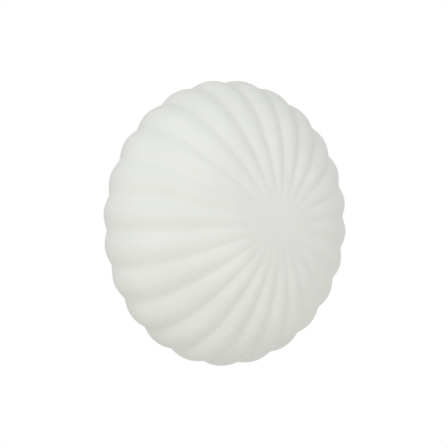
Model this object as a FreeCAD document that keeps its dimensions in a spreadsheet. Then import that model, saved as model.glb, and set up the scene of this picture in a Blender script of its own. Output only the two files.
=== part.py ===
import FreeCAD, Part
import Sketcher
import math
import os
from FreeCAD import Placement, Rotation, Vector

# Wall lamp: a ribbed opal glass shade that snaps onto a round steel base pan.
# The pan is drawn to the wall by two cap nuts on the studs of a wall bracket.
# Frame in millimetres: +Z up, +X right seen from the front, the wall is the plane y = 0
# and the lamp stands out of it towards -Y. The origin is the middle of the wall bracket's back.

SIZES = {
    # glass shade
    "shade_radius": 150.0,
    "groove_depth": 3.6,
    "dome_height": 82.0,
    "back_depth": 48.0,
    "lip_radius": 92.0,
    "glass_wall": 4.0,
    "apex_ring": 3.0,
    # seat of the glass
    "seat_gap": 0.3,
    "gasket_thickness": 3.0,
    "gasket_overlap": 1.0,
    # base pan
    "pan_wall": 1.2,
    "pan_depth": 18.0,
    "pan_rim_gap": 10.0,
    "pan_flange": 20.0,
    "pan_bend": 2.4,
    # spring catches
    "catch_width": 12.0,
    "catch_wall": 0.6,
    "catch_grip": 1.6,
    "catch_tail": 4.4,
    "catch_foot": 15.0,
    "rivet_inset": 9.0,
    "rivet_radius": 1.6,
    "rivet_head_radius": 3.0,
    "rivet_head": 1.2,
    # wall bracket and its studs
    "bracket_end": 10.0,
    "bracket_width": 25.0,
    "bracket_wall": 2.0,
    "slot_spacing": 60.0,
    "slot_length": 14.0,
    "slot_width": 5.0,
    "inlet_radius": 7.0,
    "stud_inset": 20.0,
    "stud_radius": 2.0,
    "stud_nut_flats": 7.0,
    "stud_nut_height": 3.2,
    "washer_radius": 6.0,
    "washer_wall": 0.8,
    "cap_radius": 6.0,
    "cap_height": 12.0,
    "cap_grip": 8.0,
    # fits between metal parts
    "thread_gap": 0.05,
    "bolt_gap": 0.3,
    # lampholders
    "holder_spacing": 64.0,
    "holder_width": 15.0,
    "holder_length": 25.0,
    "holder_height": 17.0,
    "ear_length": 38.0,
    "ear_height": 5.0,
    "ear_hole_spacing": 31.0,
    "collar_radius": 6.6,
    "collar_drop": 2.5,
    "pin_spacing": 9.0,
    "socket_width": 3.2,
    "socket_length": 4.4,
    "socket_depth": 12.5,
    "contact_wall": 0.4,
    "contact_gap": 0.1,
    "contact_height": 9.0,
    "small_screw_radius": 1.5,
    "small_head_radius": 2.8,
    "small_head": 2.0,
    "small_nut_flats": 5.5,
    "small_nut_height": 2.4,
    "screw_tail": 0.8,
    "block_head_radius": 2.5,
    "block_head": 1.6,
    # light bulbs
    "bulb_radius": 8.0,
    "bulb_base_height": 14.0,
    "bulb_cover_height": 34.0,
    "bulb_cover_wall": 1.0,
    "bulb_spigot_height": 3.0,
    "bulb_pin_length": 10.5,
    "bulb_pin_width": 1.8,
    "bulb_pin_wire": 0.4,
    "board_width": 9.0,
    "board_wall": 1.0,
    "board_height": 25.0,
    "chip_size": 2.8,
    "chip_wall": 0.7,
    "chip_pitch": 4.6,
    # terminal block
    "pole_pitch": 11.0,
    "block_length": 18.0,
    "block_height": 12.0,
    "block_margin": 2.0,
    "block_drop": 40.0,
    "insert_radius": 3.0,
    "insert_bore": 2.1,
    "insert_rise": 6.5,
    "insert_inset": 0.5,
    "clamp_screw_radius": 1.35,
    "clamp_screw_spacing": 8.0,
    "clamp_screw_inset": 0.8,
    # wires and the earth point
    "wire_radius": 1.1,
    "core_radius": 0.55,
    "core_offset": 1.3,
    "core_length": 13.0,
    "wire_entry": 2.5,
    "wire_lead_in": 9.0,
    "wire_gap": 0.2,
    "earth_across": 30.0,
    "earth_inset": 13.0,
    "earth_screw_radius": 1.95,
    "earth_head_radius": 3.6,
    "earth_head": 2.4,
    "earth_nut_flats": 7.0,
    "earth_nut_height": 3.2,
    "earth_washer_radius": 4.0,
    "tag_radius": 4.5,
    "tag_wall": 0.8,
    "tag_barrel_radius": 1.9,
    "tag_barrel_length": 7.0,
    "tag_reach": 5.0,
    "tag_lift": 1.0,
    # length by which a cutting tool runs past the face it cuts
    "overrun": 1.0,
}

RIB_COUNT = 24
RIB_PHASE_DEGREES = 2.45
CATCH_NAMES = ("top", "left", "right")
FIRST_CATCH_DEGREES = 90
SIDES = {"left": -1, "right": 1}

doc = FreeCAD.newDocument("wall_lamp")
sheet = doc.addObject("Spreadsheet::Sheet", "sizes")
for row, (alias, number) in enumerate(SIZES.items(), start=1):
    sheet.set(f"A{row}", alias)
    sheet.set(f"B{row}", str(number))
    sheet.setAlias(f"B{row}", alias)
doc.recompute()

nodes = []


def size(text):
    """The value of an expression in the sheet's names."""
    return float(sheet.evalExpression(text))


def node(label, piece):
    """Enter a finished sub-part under the name of its file."""
    piece.Label = label
    nodes.append(piece)
    return piece


def place(piece, x="0", y="0", z="0", rotation=None):
    """Put a piece where the expressions say, after an optional turn."""
    if rotation is not None:
        piece.Placement = Placement(Vector(), rotation)
    for axis, text in (("x", x), ("y", y), ("z", z)):
        piece.setExpression(f"Placement.Base.{axis}", text)
    return piece


# Sketches whose corners, centres and radii follow the sheet.


def new_sketch(body, role, name):
    sketch = body.newObject("Sketcher::SketchObject", name)
    plane = next(item for item in body.Origin.OriginFeatures if item.Role == role)
    sketch.AttachmentSupport = [(plane, "")]
    sketch.MapMode = "FlatFace"
    return sketch


def bind_point(sketch, geometry, point, x, y):
    for kind, text in (("DistanceX", x), ("DistanceY", y)):
        rule = Sketcher.Constraint(kind, -1, 1, geometry, point, size(text))
        index = sketch.addConstraint(rule)
        sketch.setExpression(f"Constraints[{index}]", text)


def add_outline(sketch, points):
    """A closed outline with a corner at each pair of expressions."""
    first = sketch.GeometryCount
    corners = [Vector(size(x), size(y), 0) for x, y in points]
    for start, end in zip(corners, corners[1:] + corners[:1]):
        sketch.addGeometry(Part.LineSegment(start, end), False)
    count = len(points)
    for index in range(count):
        following = first + (index + 1) % count
        sketch.addConstraint(Sketcher.Constraint("Coincident", first + index, 2, following, 1))
    for index, (x, y) in enumerate(points):
        bind_point(sketch, first + index, 1, x, y)


def add_circle(sketch, x, y, radius):
    centre = Vector(size(x), size(y), 0)
    index = sketch.addGeometry(Part.Circle(centre, Vector(0, 0, 1), size(radius)), False)
    bind_point(sketch, index, 3, x, y)
    rule = sketch.addConstraint(Sketcher.Constraint("Radius", index, size(radius)))
    sketch.setExpression(f"Constraints[{rule}]", radius)


def rectangle(width, height, x="0", y="0"):
    """Corners of a rectangle centred on a point, as expressions."""
    left = f"{x} - ({width}) / 2"
    right = f"{x} + ({width}) / 2"
    low = f"{y} - ({height}) / 2"
    high = f"{y} + ({height}) / 2"
    return [(left, low), (right, low), (right, high), (left, high)]


def hexagon(flats):
    """Corners of a hexagon with the given width across its flats."""
    return [
        (f"{flats} / sqrt(3) * cos({turn})", f"{flats} / sqrt(3) * sin({turn})")
        for turn in range(0, 360, 60)
    ]


def turned(name, points):
    """A body turned about its own Y axis from (radius, depth) corners."""
    body = doc.addObject("PartDesign::Body", name)
    sketch = new_sketch(body, "XY_Plane", name + "_profile")
    add_outline(sketch, points)
    turn = body.newObject("PartDesign::Revolution", name + "_turn")
    turn.Profile = sketch
    turn.ReferenceAxis = (sketch, ["V_Axis"])
    turn.Angle = 360
    return body


def padded(body, name, points, length, role="XZ_Plane", midplane=False):
    """Add a straight block; on the XZ plane it grows towards the front, -Y."""
    sketch = new_sketch(body, role, name + "_outline")
    add_outline(sketch, points)
    pad = body.newObject("PartDesign::Pad", name)
    pad.Profile = sketch
    pad.Midplane = midplane
    pad.setExpression("Length", length)
    return pad


def pocketed(body, name, figures, depth, start=None, role="XZ_Plane", both_ways=False):
    """Cut away circles (x, y, radius) and outlines, from the plane or start, towards the front."""
    sketch = new_sketch(body, role, name + "_outline")
    for figure in figures:
        if isinstance(figure, tuple):
            add_circle(sketch, *figure)
        else:
            add_outline(sketch, figure)
    if start is not None:
        sketch.setExpression("AttachmentOffset.Base.z", start)
    cut = body.newObject("PartDesign::Pocket", name)
    cut.Profile = sketch
    cut.Reversed = not both_ways
    cut.Midplane = both_ways
    cut.setExpression("Length", depth)
    return cut


def group(label, pieces):
    """Identical loose pieces, each a separate solid, under one name."""
    whole = doc.addObject("Part::Compound", label)
    whole.Links = pieces
    return node(label, whole)


def free_shape(label, shape):
    """A sub-part whose shape is worked out from the sheet by the section that makes it."""
    piece = doc.addObject("Part::Feature", label)
    piece.Shape = shape
    piece.Placement = Placement()
    return node(label, piece)


# Places shared by several pieces, as expressions in the sheet's names.

groove_radius = "(sizes.shade_radius - sizes.groove_depth)"
lip_round = "(sizes.glass_wall / 2)"
lip_edge = f"(sizes.lip_radius - {lip_round})"
drum_radius = f"({lip_edge} - sizes.pan_rim_gap)"
flange_radius = f"({drum_radius} + sizes.pan_flange)"
glass_back = "(sizes.pan_wall + sizes.gasket_thickness + sizes.seat_gap)"
pan_inside = "(sizes.pan_depth - sizes.pan_wall)"
rivet_circle = f"({drum_radius} - sizes.rivet_inset)"
holder_top = "(sizes.pan_depth + sizes.holder_height)"
stud_place = f"({drum_radius} - sizes.stud_inset)"
bracket_length = f"(2 * ({stud_place} + sizes.bracket_end))"
earth_down = f"sqrt(({drum_radius} - sizes.earth_inset) ^ 2 - sizes.earth_across ^ 2)"
catch_degrees = {
    name: FIRST_CATCH_DEGREES + 360 * index / len(CATCH_NAMES)
    for index, name in enumerate(CATCH_NAMES)
}


# Glass shade: mould-blown, 24 ribs that run from the front to the widest circle and fade out
# towards the smooth cap in front and the ground lip behind. One rib is worked out as a smooth
# surface through points and is repeated round the axis.

VALLEY_SOFTNESS = 0.3
CAP_SHARE = 0.06
FULL_RIB_SHARE = 0.55
RIB_GROWTH_SHARE = 0.7
INNER_RIB_SHARE = 0.5
FRONT_STATIONS = 13
BACK_STATIONS = 12
LIP_STATIONS = 6
RIB_STATIONS = 8


def smooth_step(value, low, high):
    share = min(max((value - low) / (high - low), 0.0), 1.0)
    return share * share * (3.0 - 2.0 * share)


def rib_rise(share):
    """Height of a rib across its width, 0 in the valleys and 1 on the crest."""
    soft = VALLEY_SOFTNESS
    bow = math.sqrt(math.sin(math.pi * share) ** 2 + soft ** 2)
    return (bow - soft) / (math.sqrt(1.0 + soft ** 2) - soft)


def meridian(radius, height, depth, lip, start):
    """(radius, distance in front of the widest circle) from the cap to the lip."""
    first = math.asin(start / radius)
    line = []
    for step in range(FRONT_STATIONS):
        turn = first + (math.pi / 2 - first) * step / (FRONT_STATIONS - 1)
        line.append((radius * math.sin(turn), height * math.cos(turn)))
    for step in range(1, BACK_STATIONS + 1):
        turn = math.pi / 2 * (1.0 - (1.0 - step / BACK_STATIONS) ** 2)
        line.append((lip + (radius - lip) * math.cos(turn), -depth * math.sin(turn)))
    return line


def outward(line):
    """Unit normals of a meridian, pointing away from the hollow."""
    normals = []
    for index in range(len(line)):
        before = line[max(index - 1, 0)]
        after = line[min(index + 1, len(line) - 1)]
        across = after[0] - before[0]
        along = after[1] - before[1]
        reach = math.hypot(across, along)
        normals.append((-along / reach, across / reach))
    return normals


def ribbed_rows(line, rib_depth, radius, lip):
    """Rows of points over one rib for each station of a meridian."""
    rows = []
    for (reach, front), (out, ahead) in zip(line, outward(line)):
        share = reach / radius
        fade = share ** RIB_GROWTH_SHARE * smooth_step(share, CAP_SHARE, FULL_RIB_SHARE)
        if front < 0:
            fade *= smooth_step(reach, lip, radius)
        row = []
        for step in range(RIB_STATIONS + 1):
            across = (1.0 - math.cos(math.pi * step / RIB_STATIONS)) / 2
            rise = rib_depth * fade * rib_rise(across)
            row.append((reach + out * rise, front + ahead * rise, across))
        rows.append(row)
    return rows


def rib_faces(rows, widest, seams):
    """A smooth skin through the rows, cut at the seam rows, for the rib that starts at angle zero."""
    width = 2 * math.pi / RIB_COUNT
    grid = []
    for row in rows:
        line = []
        for reach, front, across in row:
            turn = across * width
            line.append(Vector(reach * math.cos(turn), -widest - front, reach * math.sin(turn)))
        grid.append(line)
    skin = Part.BSplineSurface()
    skin.interpolate(grid)
    along = skin.getUKnots()
    low, high = skin.bounds()[2:]
    faces = []
    for first, last in zip(seams, seams[1:]):
        stretch = skin.copy()
        stretch.segment(along[first], along[last], low, high)
        faces.append(stretch.toShape())
    return faces


def make_glass_shade():
    radius = size(groove_radius)
    wall = size("sizes.glass_wall")
    height = size("sizes.dome_height")
    depth = size("sizes.back_depth")
    lip = size("sizes.lip_radius")
    start = size("sizes.apex_ring")
    rib_depth = size("sizes.groove_depth")
    widest = size(f"{glass_back} + sizes.back_depth")

    outer = meridian(radius, height, depth, lip, start)
    inner = meridian(radius - wall, height - wall, depth - wall, lip, start)
    outer_rows = ribbed_rows(outer, rib_depth, radius, lip)
    inner_rows = ribbed_rows(inner, rib_depth * INNER_RIB_SHARE, radius - wall, lip)

    rows = list(outer_rows)
    for step in range(1, LIP_STATIONS):
        turn = math.pi * step / LIP_STATIONS
        reach = lip - wall / 2 * math.sin(turn)
        front = -depth + wall / 2 - wall / 2 * math.cos(turn)
        rows.append([(reach, front, point[2]) for point in outer_rows[0]])
    rows.extend(reversed(inner_rows))

    count = len(outer_rows)
    widest_row = FRONT_STATIONS - 1
    total = len(rows)
    seams = [0, widest_row, count - 1, total - count, total - 1 - widest_row, total - 1]
    rib = rib_faces(rows, widest, seams)
    rings = [min(face.Edges, key=lambda edge: edge.Length) for face in (rib[0], rib[-1])]
    faces = []
    cap_edges = [[], []]
    for index in range(RIB_COUNT):
        turn = Rotation(Vector(0, -1, 0), RIB_PHASE_DEGREES + index * 360 / RIB_COUNT)
        turned_to = Placement(Vector(), turn).toMatrix()
        faces.extend(face.transformGeometry(turned_to) for face in rib)
        for edges, ring in zip(cap_edges, rings):
            edges.append(ring.transformGeometry(turned_to))
    for edges in cap_edges:
        faces.append(Part.Face(Part.Wire(Part.__sortEdges__(edges))))
    skin = Part.makeCompound(faces)
    skin.sewShape()
    glass = Part.makeSolid(skin.Shells[0])
    if glass.Volume < 0:
        glass.reverse()
    return glass


free_shape("glass_shade", make_glass_shade())


# Foam gasket: a flat ring on the pan's flange that the glass's back is pressed against.

gasket = turned(
    "gasket",
    [
        (f"{lip_edge} + sizes.gasket_overlap", "-sizes.pan_wall"),
        (f"{flange_radius} - sizes.gasket_overlap", "-sizes.pan_wall"),
        (f"{flange_radius} - sizes.gasket_overlap", "-sizes.pan_wall - sizes.gasket_thickness"),
        (f"{lip_edge} + sizes.gasket_overlap", "-sizes.pan_wall - sizes.gasket_thickness"),
    ],
)
node("shade_gasket", gasket)


# Base pan: pressed from one steel sheet. Its drum passes through the glass's opening and its
# flange lies on the wall. The drum's face carries the lampholders, the catches and the earth point.

pan = turned(
    "pan",
    [
        ("0", "-sizes.pan_depth"),
        (drum_radius, "-sizes.pan_depth"),
        (drum_radius, "-sizes.pan_wall"),
        (flange_radius, "-sizes.pan_wall"),
        (flange_radius, "0"),
        (f"{drum_radius} - sizes.pan_wall", "0"),
        (f"{drum_radius} - sizes.pan_wall", f"-{pan_inside}"),
        ("0", f"-{pan_inside}"),
    ],
)
doc.recompute()


def rim_edges(shape, radius, depth):
    """Names of the round edges of a given radius at a given depth."""
    return [
        f"Edge{index}"
        for index, edge in enumerate(shape.Edges, start=1)
        if isinstance(edge.Curve, Part.Circle)
        and math.isclose(edge.Curve.Radius, radius, abs_tol=1e-6)
        and math.isclose(edge.Curve.Center.y, depth, abs_tol=1e-6)
    ]


def bend(body, name, radius, depth, bend_radius):
    """Round one bend of the pressed sheet."""
    sheet_metal = body.Tip
    edges = rim_edges(sheet_metal.Shape, size(radius), size(depth))
    rounding = body.newObject("PartDesign::Fillet", name)
    rounding.Base = (sheet_metal, edges)
    rounding.setExpression("Radius", bend_radius)
    body.Tip = rounding
    doc.recompute()


drum_inside = f"{drum_radius} - sizes.pan_wall"
bend(pan, "face_bend_outside", drum_radius, "-sizes.pan_depth", "sizes.pan_bend")
bend(pan, "face_bend_inside", drum_inside, f"-{pan_inside}", "sizes.pan_bend - sizes.pan_wall")
bend(pan, "foot_bend_outside", drum_inside, "0", "sizes.pan_bend")
bend(pan, "foot_bend_inside", drum_radius, "-sizes.pan_wall", "sizes.pan_bend - sizes.pan_wall")


stud_hole = "(sizes.stud_radius + sizes.bolt_gap)"
small_hole = "(sizes.small_screw_radius + sizes.bolt_gap)"
small_bore = "(sizes.small_screw_radius + sizes.thread_gap)"
rivet_hole = "(sizes.rivet_radius + sizes.thread_gap)"
earth_hole = "(sizes.earth_screw_radius + sizes.thread_gap)"

pan_holes = [("sizes.earth_across", f"-{earth_down}", earth_hole)]
for side in SIDES.values():
    across = f"{side} * sizes.holder_spacing / 2"
    pan_holes.append((across, "0", "sizes.collar_radius + sizes.bolt_gap"))
    for end in SIDES.values():
        pan_holes.append((across, f"{end} * sizes.ear_hole_spacing / 2", small_hole))
    pan_holes.append((f"{side} * {stud_place}", "0", stud_hole))
    pan_holes.append((f"{side} * sizes.pole_pitch / 2", "-sizes.block_drop", small_bore))
for degrees in catch_degrees.values():
    across = f"{rivet_circle} * cos({degrees})"
    up = f"{rivet_circle} * sin({degrees})"
    pan_holes.append((across, up, rivet_hole))
pocketed(pan, "pan_holes", pan_holes, "sizes.pan_depth + sizes.overrun")
node("base_pan", pan)


# Spring catches: three bent strips of spring steel, riveted to the drum's face, that spread
# behind the glass's lip. Each is drawn for the +X direction and then turned to its place.

lip_centre_depth = f"({glass_back} + {lip_round})"
catch_peak = f"({lip_edge} + sizes.catch_grip)"
catch_peak_depth = (
    f"({lip_centre_depth} - {lip_round} + sizes.catch_grip"
    f" + sqrt(2) * ({lip_round} + sizes.seat_gap))"
)
catch_start = f"({drum_radius} + sizes.seat_gap)"
catch_foot_start = f"({drum_radius} - sizes.catch_foot)"
catch_shift = "(sizes.catch_wall * sqrt(2))"
catch_face = "(sizes.pan_depth + sizes.catch_wall)"

catch_outline = [
    (catch_foot_start, "-sizes.pan_depth"),
    (catch_start, "-sizes.pan_depth"),
    (f"{catch_peak} - {catch_shift}", f"-{catch_peak_depth}"),
    (f"{catch_peak} - sizes.catch_tail - {catch_shift}", f"-{catch_peak_depth} + sizes.catch_tail"),
    (f"{catch_peak} - sizes.catch_tail", f"-{catch_peak_depth} + sizes.catch_tail"),
    (catch_peak, f"-{catch_peak_depth}"),
    (f"{catch_start} + {catch_shift} / 2", f"-{catch_face}"),
    (catch_foot_start, f"-{catch_face}"),
]

rivets = []
for direction, degrees in catch_degrees.items():
    turn = Rotation(Vector(0, -1, 0), degrees)
    strip = doc.addObject("PartDesign::Body", f"catch_{direction}")
    padded(strip, f"strip_{direction}", catch_outline, "sizes.catch_width", "XY_Plane", True)
    pocketed(
        strip,
        f"rivet_hole_{direction}",
        [(rivet_circle, "0", rivet_hole)],
        "sizes.catch_wall + sizes.overrun",
        "sizes.pan_depth - sizes.overrun / 2",
    )
    node(f"spring_catch_{direction}", place(strip, rotation=turn))

    rivet = turned(
        f"rivet_{direction}",
        [
            ("0", f"-{catch_face} - sizes.rivet_head"),
            ("sizes.rivet_head_radius / 2", f"-{catch_face} - sizes.rivet_head"),
            ("sizes.rivet_head_radius", f"-{catch_face}"),
            ("sizes.rivet_radius", f"-{catch_face}"),
            ("sizes.rivet_radius", f"-{pan_inside}"),
            ("sizes.rivet_head_radius", f"-{pan_inside}"),
            ("sizes.rivet_head_radius / 2", f"-{pan_inside} + sizes.rivet_head"),
            ("0", f"-{pan_inside} + sizes.rivet_head"),
        ],
    )
    across = f"{rivet_circle} * cos({degrees})"
    up = f"{rivet_circle} * sin({degrees})"
    rivets.append(place(rivet, across, "0", up))
group("catch_rivets", rivets)


# Wall bracket: a steel strip with two slots for the wall screws, a cable inlet in the middle
# and a threaded hole near each end for a stud.

bracket = doc.addObject("PartDesign::Body", "bracket")
padded(
    bracket,
    "strip",
    rectangle(bracket_length, "sizes.bracket_width"),
    "sizes.bracket_wall",
)


bracket_holes = [("0", "0", "sizes.inlet_radius")]
slot_middles = []
slot_ends = []
for side in SIDES.values():
    across = f"{side} * {stud_place}"
    bracket_holes.append((across, "0", "sizes.stud_radius + sizes.thread_gap"))
    slot_at = f"{side} * sizes.slot_spacing / 2"
    slot_run = "(sizes.slot_length - sizes.slot_width)"
    slot_middles.append(rectangle(slot_run, "sizes.slot_width", slot_at))
    for end in SIDES.values():
        slot_ends.append((f"{slot_at} + {end} * {slot_run} / 2", "0", "sizes.slot_width / 2"))
bracket_cut = "sizes.bracket_wall + sizes.overrun"
pocketed(bracket, "bracket_holes", bracket_holes, bracket_cut)
pocketed(bracket, "slot_middles", slot_middles, bracket_cut)
for index, slot_end in enumerate(slot_ends):
    pocketed(bracket, f"slot_end_{index}", [slot_end], bracket_cut)
node("wall_bracket", bracket)


# Studs with their lock nuts in the bracket, and the washers and knurled cap nuts that draw the
# pan to the wall.

CAP_SHOULDER_SHARE = 0.75
stud_reach = "(sizes.pan_depth + sizes.washer_wall + sizes.cap_grip)"


def make_hex_nut(name, flats, height, bore):
    nut = doc.addObject("PartDesign::Body", name)
    padded(nut, f"{name}_block", hexagon(flats), height)
    pocketed(nut, f"{name}_bore", [("0", "0", bore)], f"{height} + sizes.overrun")
    return nut


def make_washer(name, inner, outer, wall):
    return turned(name, [(inner, "0"), (outer, "0"), (outer, f"-{wall}"), (inner, f"-{wall}")])


studs = []
lock_nuts = []
washers = []
cap_nuts = []
stud_bore = "(sizes.stud_radius + sizes.thread_gap)"
for name, side in SIDES.items():
    across = f"{side} * {stud_place}"
    stud = turned(
        f"stud_{name}",
        [
            ("0", "0"),
            ("sizes.stud_radius", "0"),
            ("sizes.stud_radius", f"-{stud_reach}"),
            ("0", f"-{stud_reach}"),
        ],
    )
    studs.append(place(stud, across))
    nut = make_hex_nut(f"lock_{name}", "sizes.stud_nut_flats", "sizes.stud_nut_height", stud_bore)
    lock_nuts.append(place(nut, across, "-sizes.bracket_wall"))
    washer = make_washer(f"washer_{name}", stud_hole, "sizes.washer_radius", "sizes.washer_wall")
    washers.append(place(washer, across, "-sizes.pan_depth"))
    cap = turned(
        f"cap_{name}",
        [
            (stud_bore, "0"),
            ("sizes.cap_radius", "0"),
            ("sizes.cap_radius", f"-sizes.cap_height * {CAP_SHOULDER_SHARE}"),
            (f"sizes.cap_radius * {CAP_SHOULDER_SHARE}", "-sizes.cap_height"),
            ("0", "-sizes.cap_height"),
            ("0", "-sizes.cap_grip - sizes.bolt_gap"),
            (stud_bore, "-sizes.cap_grip - sizes.bolt_gap"),
        ],
    )
    cap_nuts.append(place(cap, across, "-sizes.pan_depth - sizes.washer_wall"))
group("bracket_studs", studs)
group("stud_lock_nuts", lock_nuts)
group("pan_washers", washers)
group("cap_nuts", cap_nuts)


# Lampholders: glazed ceramic blocks with two ears, a collar that guards the wires where they
# pass through the pan, and two sockets with spring contacts for a bulb with two pins.


HEAD_TOP_SHARE = 0.7
HEAD_EDGE_SHARE = 0.5
wire_hole = "(sizes.wire_radius + sizes.wire_gap)"


def make_round_piece(name, radius, start, end):
    """A plain round rod along Y between two depths."""
    return turned(name, [("0", start), (radius, start), (radius, end), ("0", end)])


def make_lampholder(side_name, across):
    holder = doc.addObject("PartDesign::Body", f"holder_{side_name}")
    ears = rectangle("sizes.holder_width", "sizes.ear_length")
    tower = rectangle("sizes.holder_width", "sizes.holder_length")
    padded(holder, f"ears_{side_name}", ears, "sizes.ear_height")
    padded(holder, f"tower_{side_name}", tower, "sizes.holder_height")

    collar_sketch = new_sketch(holder, "XZ_Plane", f"collar_circle_{side_name}")
    add_circle(collar_sketch, "0", "0", "sizes.collar_radius")
    collar = holder.newObject("PartDesign::Pad", f"collar_{side_name}")
    collar.Profile = collar_sketch
    collar.Reversed = True
    collar.setExpression("Length", "sizes.collar_drop")

    ends = [f"{end} * sizes.pin_spacing / 2" for end in SIDES.values()]
    screws = [f"{end} * sizes.ear_hole_spacing / 2" for end in SIDES.values()]
    pocketed(
        holder,
        f"sockets_{side_name}",
        [rectangle("sizes.socket_width", "sizes.socket_length", "0", end) for end in ends],
        "sizes.socket_depth + sizes.overrun",
        "sizes.holder_height - sizes.socket_depth",
    )
    pocketed(
        holder,
        f"wire_holes_{side_name}",
        [("0", end, wire_hole) for end in ends],
        "sizes.holder_height + sizes.collar_drop",
        "-sizes.collar_drop - sizes.overrun",
    )
    pocketed(
        holder,
        f"ear_holes_{side_name}",
        [("0", up, small_hole) for up in screws],
        "sizes.ear_height + 2 * sizes.overrun",
        "-sizes.overrun",
    )
    return node(f"lampholder_{side_name}", place(holder, across, "-sizes.pan_depth"))


def make_contact(name, across, up):
    """A strip of spring bronze bent to a U, whose legs stand either side of a bulb pin."""
    half = "(sizes.socket_width / 2 - sizes.contact_gap)"
    inner = f"({half} - sizes.contact_wall)"
    outline = [
        (f"-{half}", "0"),
        (half, "0"),
        (half, "-sizes.contact_height"),
        (inner, "-sizes.contact_height"),
        (inner, "-sizes.contact_wall"),
        (f"-{inner}", "-sizes.contact_wall"),
        (f"-{inner}", "-sizes.contact_height"),
        (f"-{half}", "-sizes.contact_height"),
    ]
    contact = doc.addObject("PartDesign::Body", name)
    width = "sizes.socket_length - 2 * sizes.contact_gap"
    padded(contact, f"{name}_strip", outline, width, "XY_Plane", True)
    floor = "-sizes.pan_depth - sizes.holder_height + sizes.socket_depth"
    return place(contact, across, floor, up)


def make_pan_head_screw(name, shank, head_radius, head, length):
    """A screw whose head rests at its own origin and whose shank runs towards +Y."""
    return turned(
        name,
        [
            ("0", f"-{head}"),
            (f"{head_radius} * {HEAD_TOP_SHARE}", f"-{head}"),
            (head_radius, f"-{head} * {HEAD_EDGE_SHARE}"),
            (head_radius, "0"),
            (shank, "0"),
            (shank, length),
            ("0", length),
        ],
    )


ear_screw_length = (
    "(sizes.ear_height + sizes.pan_wall + sizes.small_nut_height + sizes.screw_tail)"
)
holder_screws = []
holder_nuts = []
for name, side in SIDES.items():
    across = f"{side} * sizes.holder_spacing / 2"
    make_lampholder(name, across)
    contacts = []
    for end_name, end in (("low", -1), ("high", 1)):
        pin_up = f"{end} * sizes.pin_spacing / 2"
        contacts.append(make_contact(f"contact_{name}_{end_name}", across, pin_up))
        screw_up = f"{end} * sizes.ear_hole_spacing / 2"
        screw = make_pan_head_screw(
            f"holder_screw_{name}_{end_name}",
            "sizes.small_screw_radius",
            "sizes.small_head_radius",
            "sizes.small_head",
            ear_screw_length,
        )
        holder_screws.append(place(screw, across, "-sizes.pan_depth - sizes.ear_height", screw_up))
        nut = make_hex_nut(
            f"holder_nut_{name}_{end_name}",
            "sizes.small_nut_flats",
            "sizes.small_nut_height",
            small_bore,
        )
        nut_depth = f"-{pan_inside} + sizes.small_nut_height"
        holder_nuts.append(place(nut, across, nut_depth, screw_up))
    group(f"holder_contacts_{name}", contacts)
group("holder_screws", holder_screws)
group("holder_nuts", holder_nuts)


# Light bulbs: LED capsules with two wire pins, an opaque base, a printed board with its LEDs
# and a milky cover. They are pulled straight out of their lampholders.

BULB_FOOT_SHARE = 0.85
BULB_TAPER_SHARE = 0.25
bulb_seat = f"({holder_top} + sizes.seat_gap)"
cover_inner = "(sizes.bulb_radius - sizes.bulb_cover_wall)"
bulb_base_top = "(sizes.bulb_base_height - sizes.bulb_spigot_height)"


def make_bulb_base(name):
    spigot = f"({cover_inner} - sizes.contact_gap)"
    return turned(
        name,
        [
            ("0", "0"),
            (f"sizes.bulb_radius * {BULB_FOOT_SHARE}", "0"),
            ("sizes.bulb_radius", f"-{bulb_base_top} * {BULB_TAPER_SHARE}"),
            ("sizes.bulb_radius", f"-{bulb_base_top}"),
            (spigot, f"-{bulb_base_top}"),
            (spigot, "-sizes.bulb_base_height"),
            ("0", "-sizes.bulb_base_height"),
        ],
    )


def make_bulb_cover(side_name):
    """A thin round cap with a domed end, made as one ball-ended rod less a smaller one."""
    height = "sizes.bulb_cover_height"
    outer = doc.addObject("Part::Cylinder", f"cover_outside_{side_name}")
    outer.setExpression("Radius", "sizes.bulb_radius")
    outer.setExpression("Height", f"{height} - sizes.bulb_radius")
    outer_end = doc.addObject("Part::Sphere", f"cover_end_outside_{side_name}")
    outer_end.setExpression("Radius", "sizes.bulb_radius")
    place(outer_end, z=f"{height} - sizes.bulb_radius")
    inner = doc.addObject("Part::Cylinder", f"cover_inside_{side_name}")
    inner.setExpression("Radius", cover_inner)
    inner.setExpression("Height", f"{height} - sizes.bulb_radius + sizes.overrun")
    place(inner, z="-sizes.overrun")
    inner_end = doc.addObject("Part::Sphere", f"cover_end_inside_{side_name}")
    inner_end.setExpression("Radius", cover_inner)
    place(inner_end, z=f"{height} - sizes.bulb_radius")
    shell = doc.addObject("Part::MultiFuse", f"cover_body_{side_name}")
    shell.Shapes = [outer, outer_end]
    hollow = doc.addObject("Part::MultiFuse", f"cover_hollow_{side_name}")
    hollow.Shapes = [inner, inner_end]
    cover = doc.addObject("Part::Cut", f"cover_{side_name}")
    cover.Base = shell
    cover.Tool = hollow
    return cover


def make_pin_loop(across, up):
    """One pin: a wire bent back on itself, its two legs side by side along Z."""
    wire = size("sizes.bulb_pin_wire")
    half = size("sizes.bulb_pin_width / 2")
    top = -size(bulb_seat)
    tip = top + size("sizes.bulb_pin_length") - half
    low = Vector(across, top, up - half)
    low_end = Vector(across, tip, up - half)
    middle = Vector(across, tip + half, up)
    high_end = Vector(across, tip, up + half)
    high = Vector(across, top, up + half)
    path = Part.Wire(
        [
            Part.LineSegment(low, low_end).toShape(),
            Part.Arc(low_end, middle, high_end).toShape(),
            Part.LineSegment(high_end, high).toShape(),
        ]
    )
    section = Part.Wire(Part.makeCircle(wire, low, Vector(0, 1, 0)))
    return path.makePipeShell([section], True, True)


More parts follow.
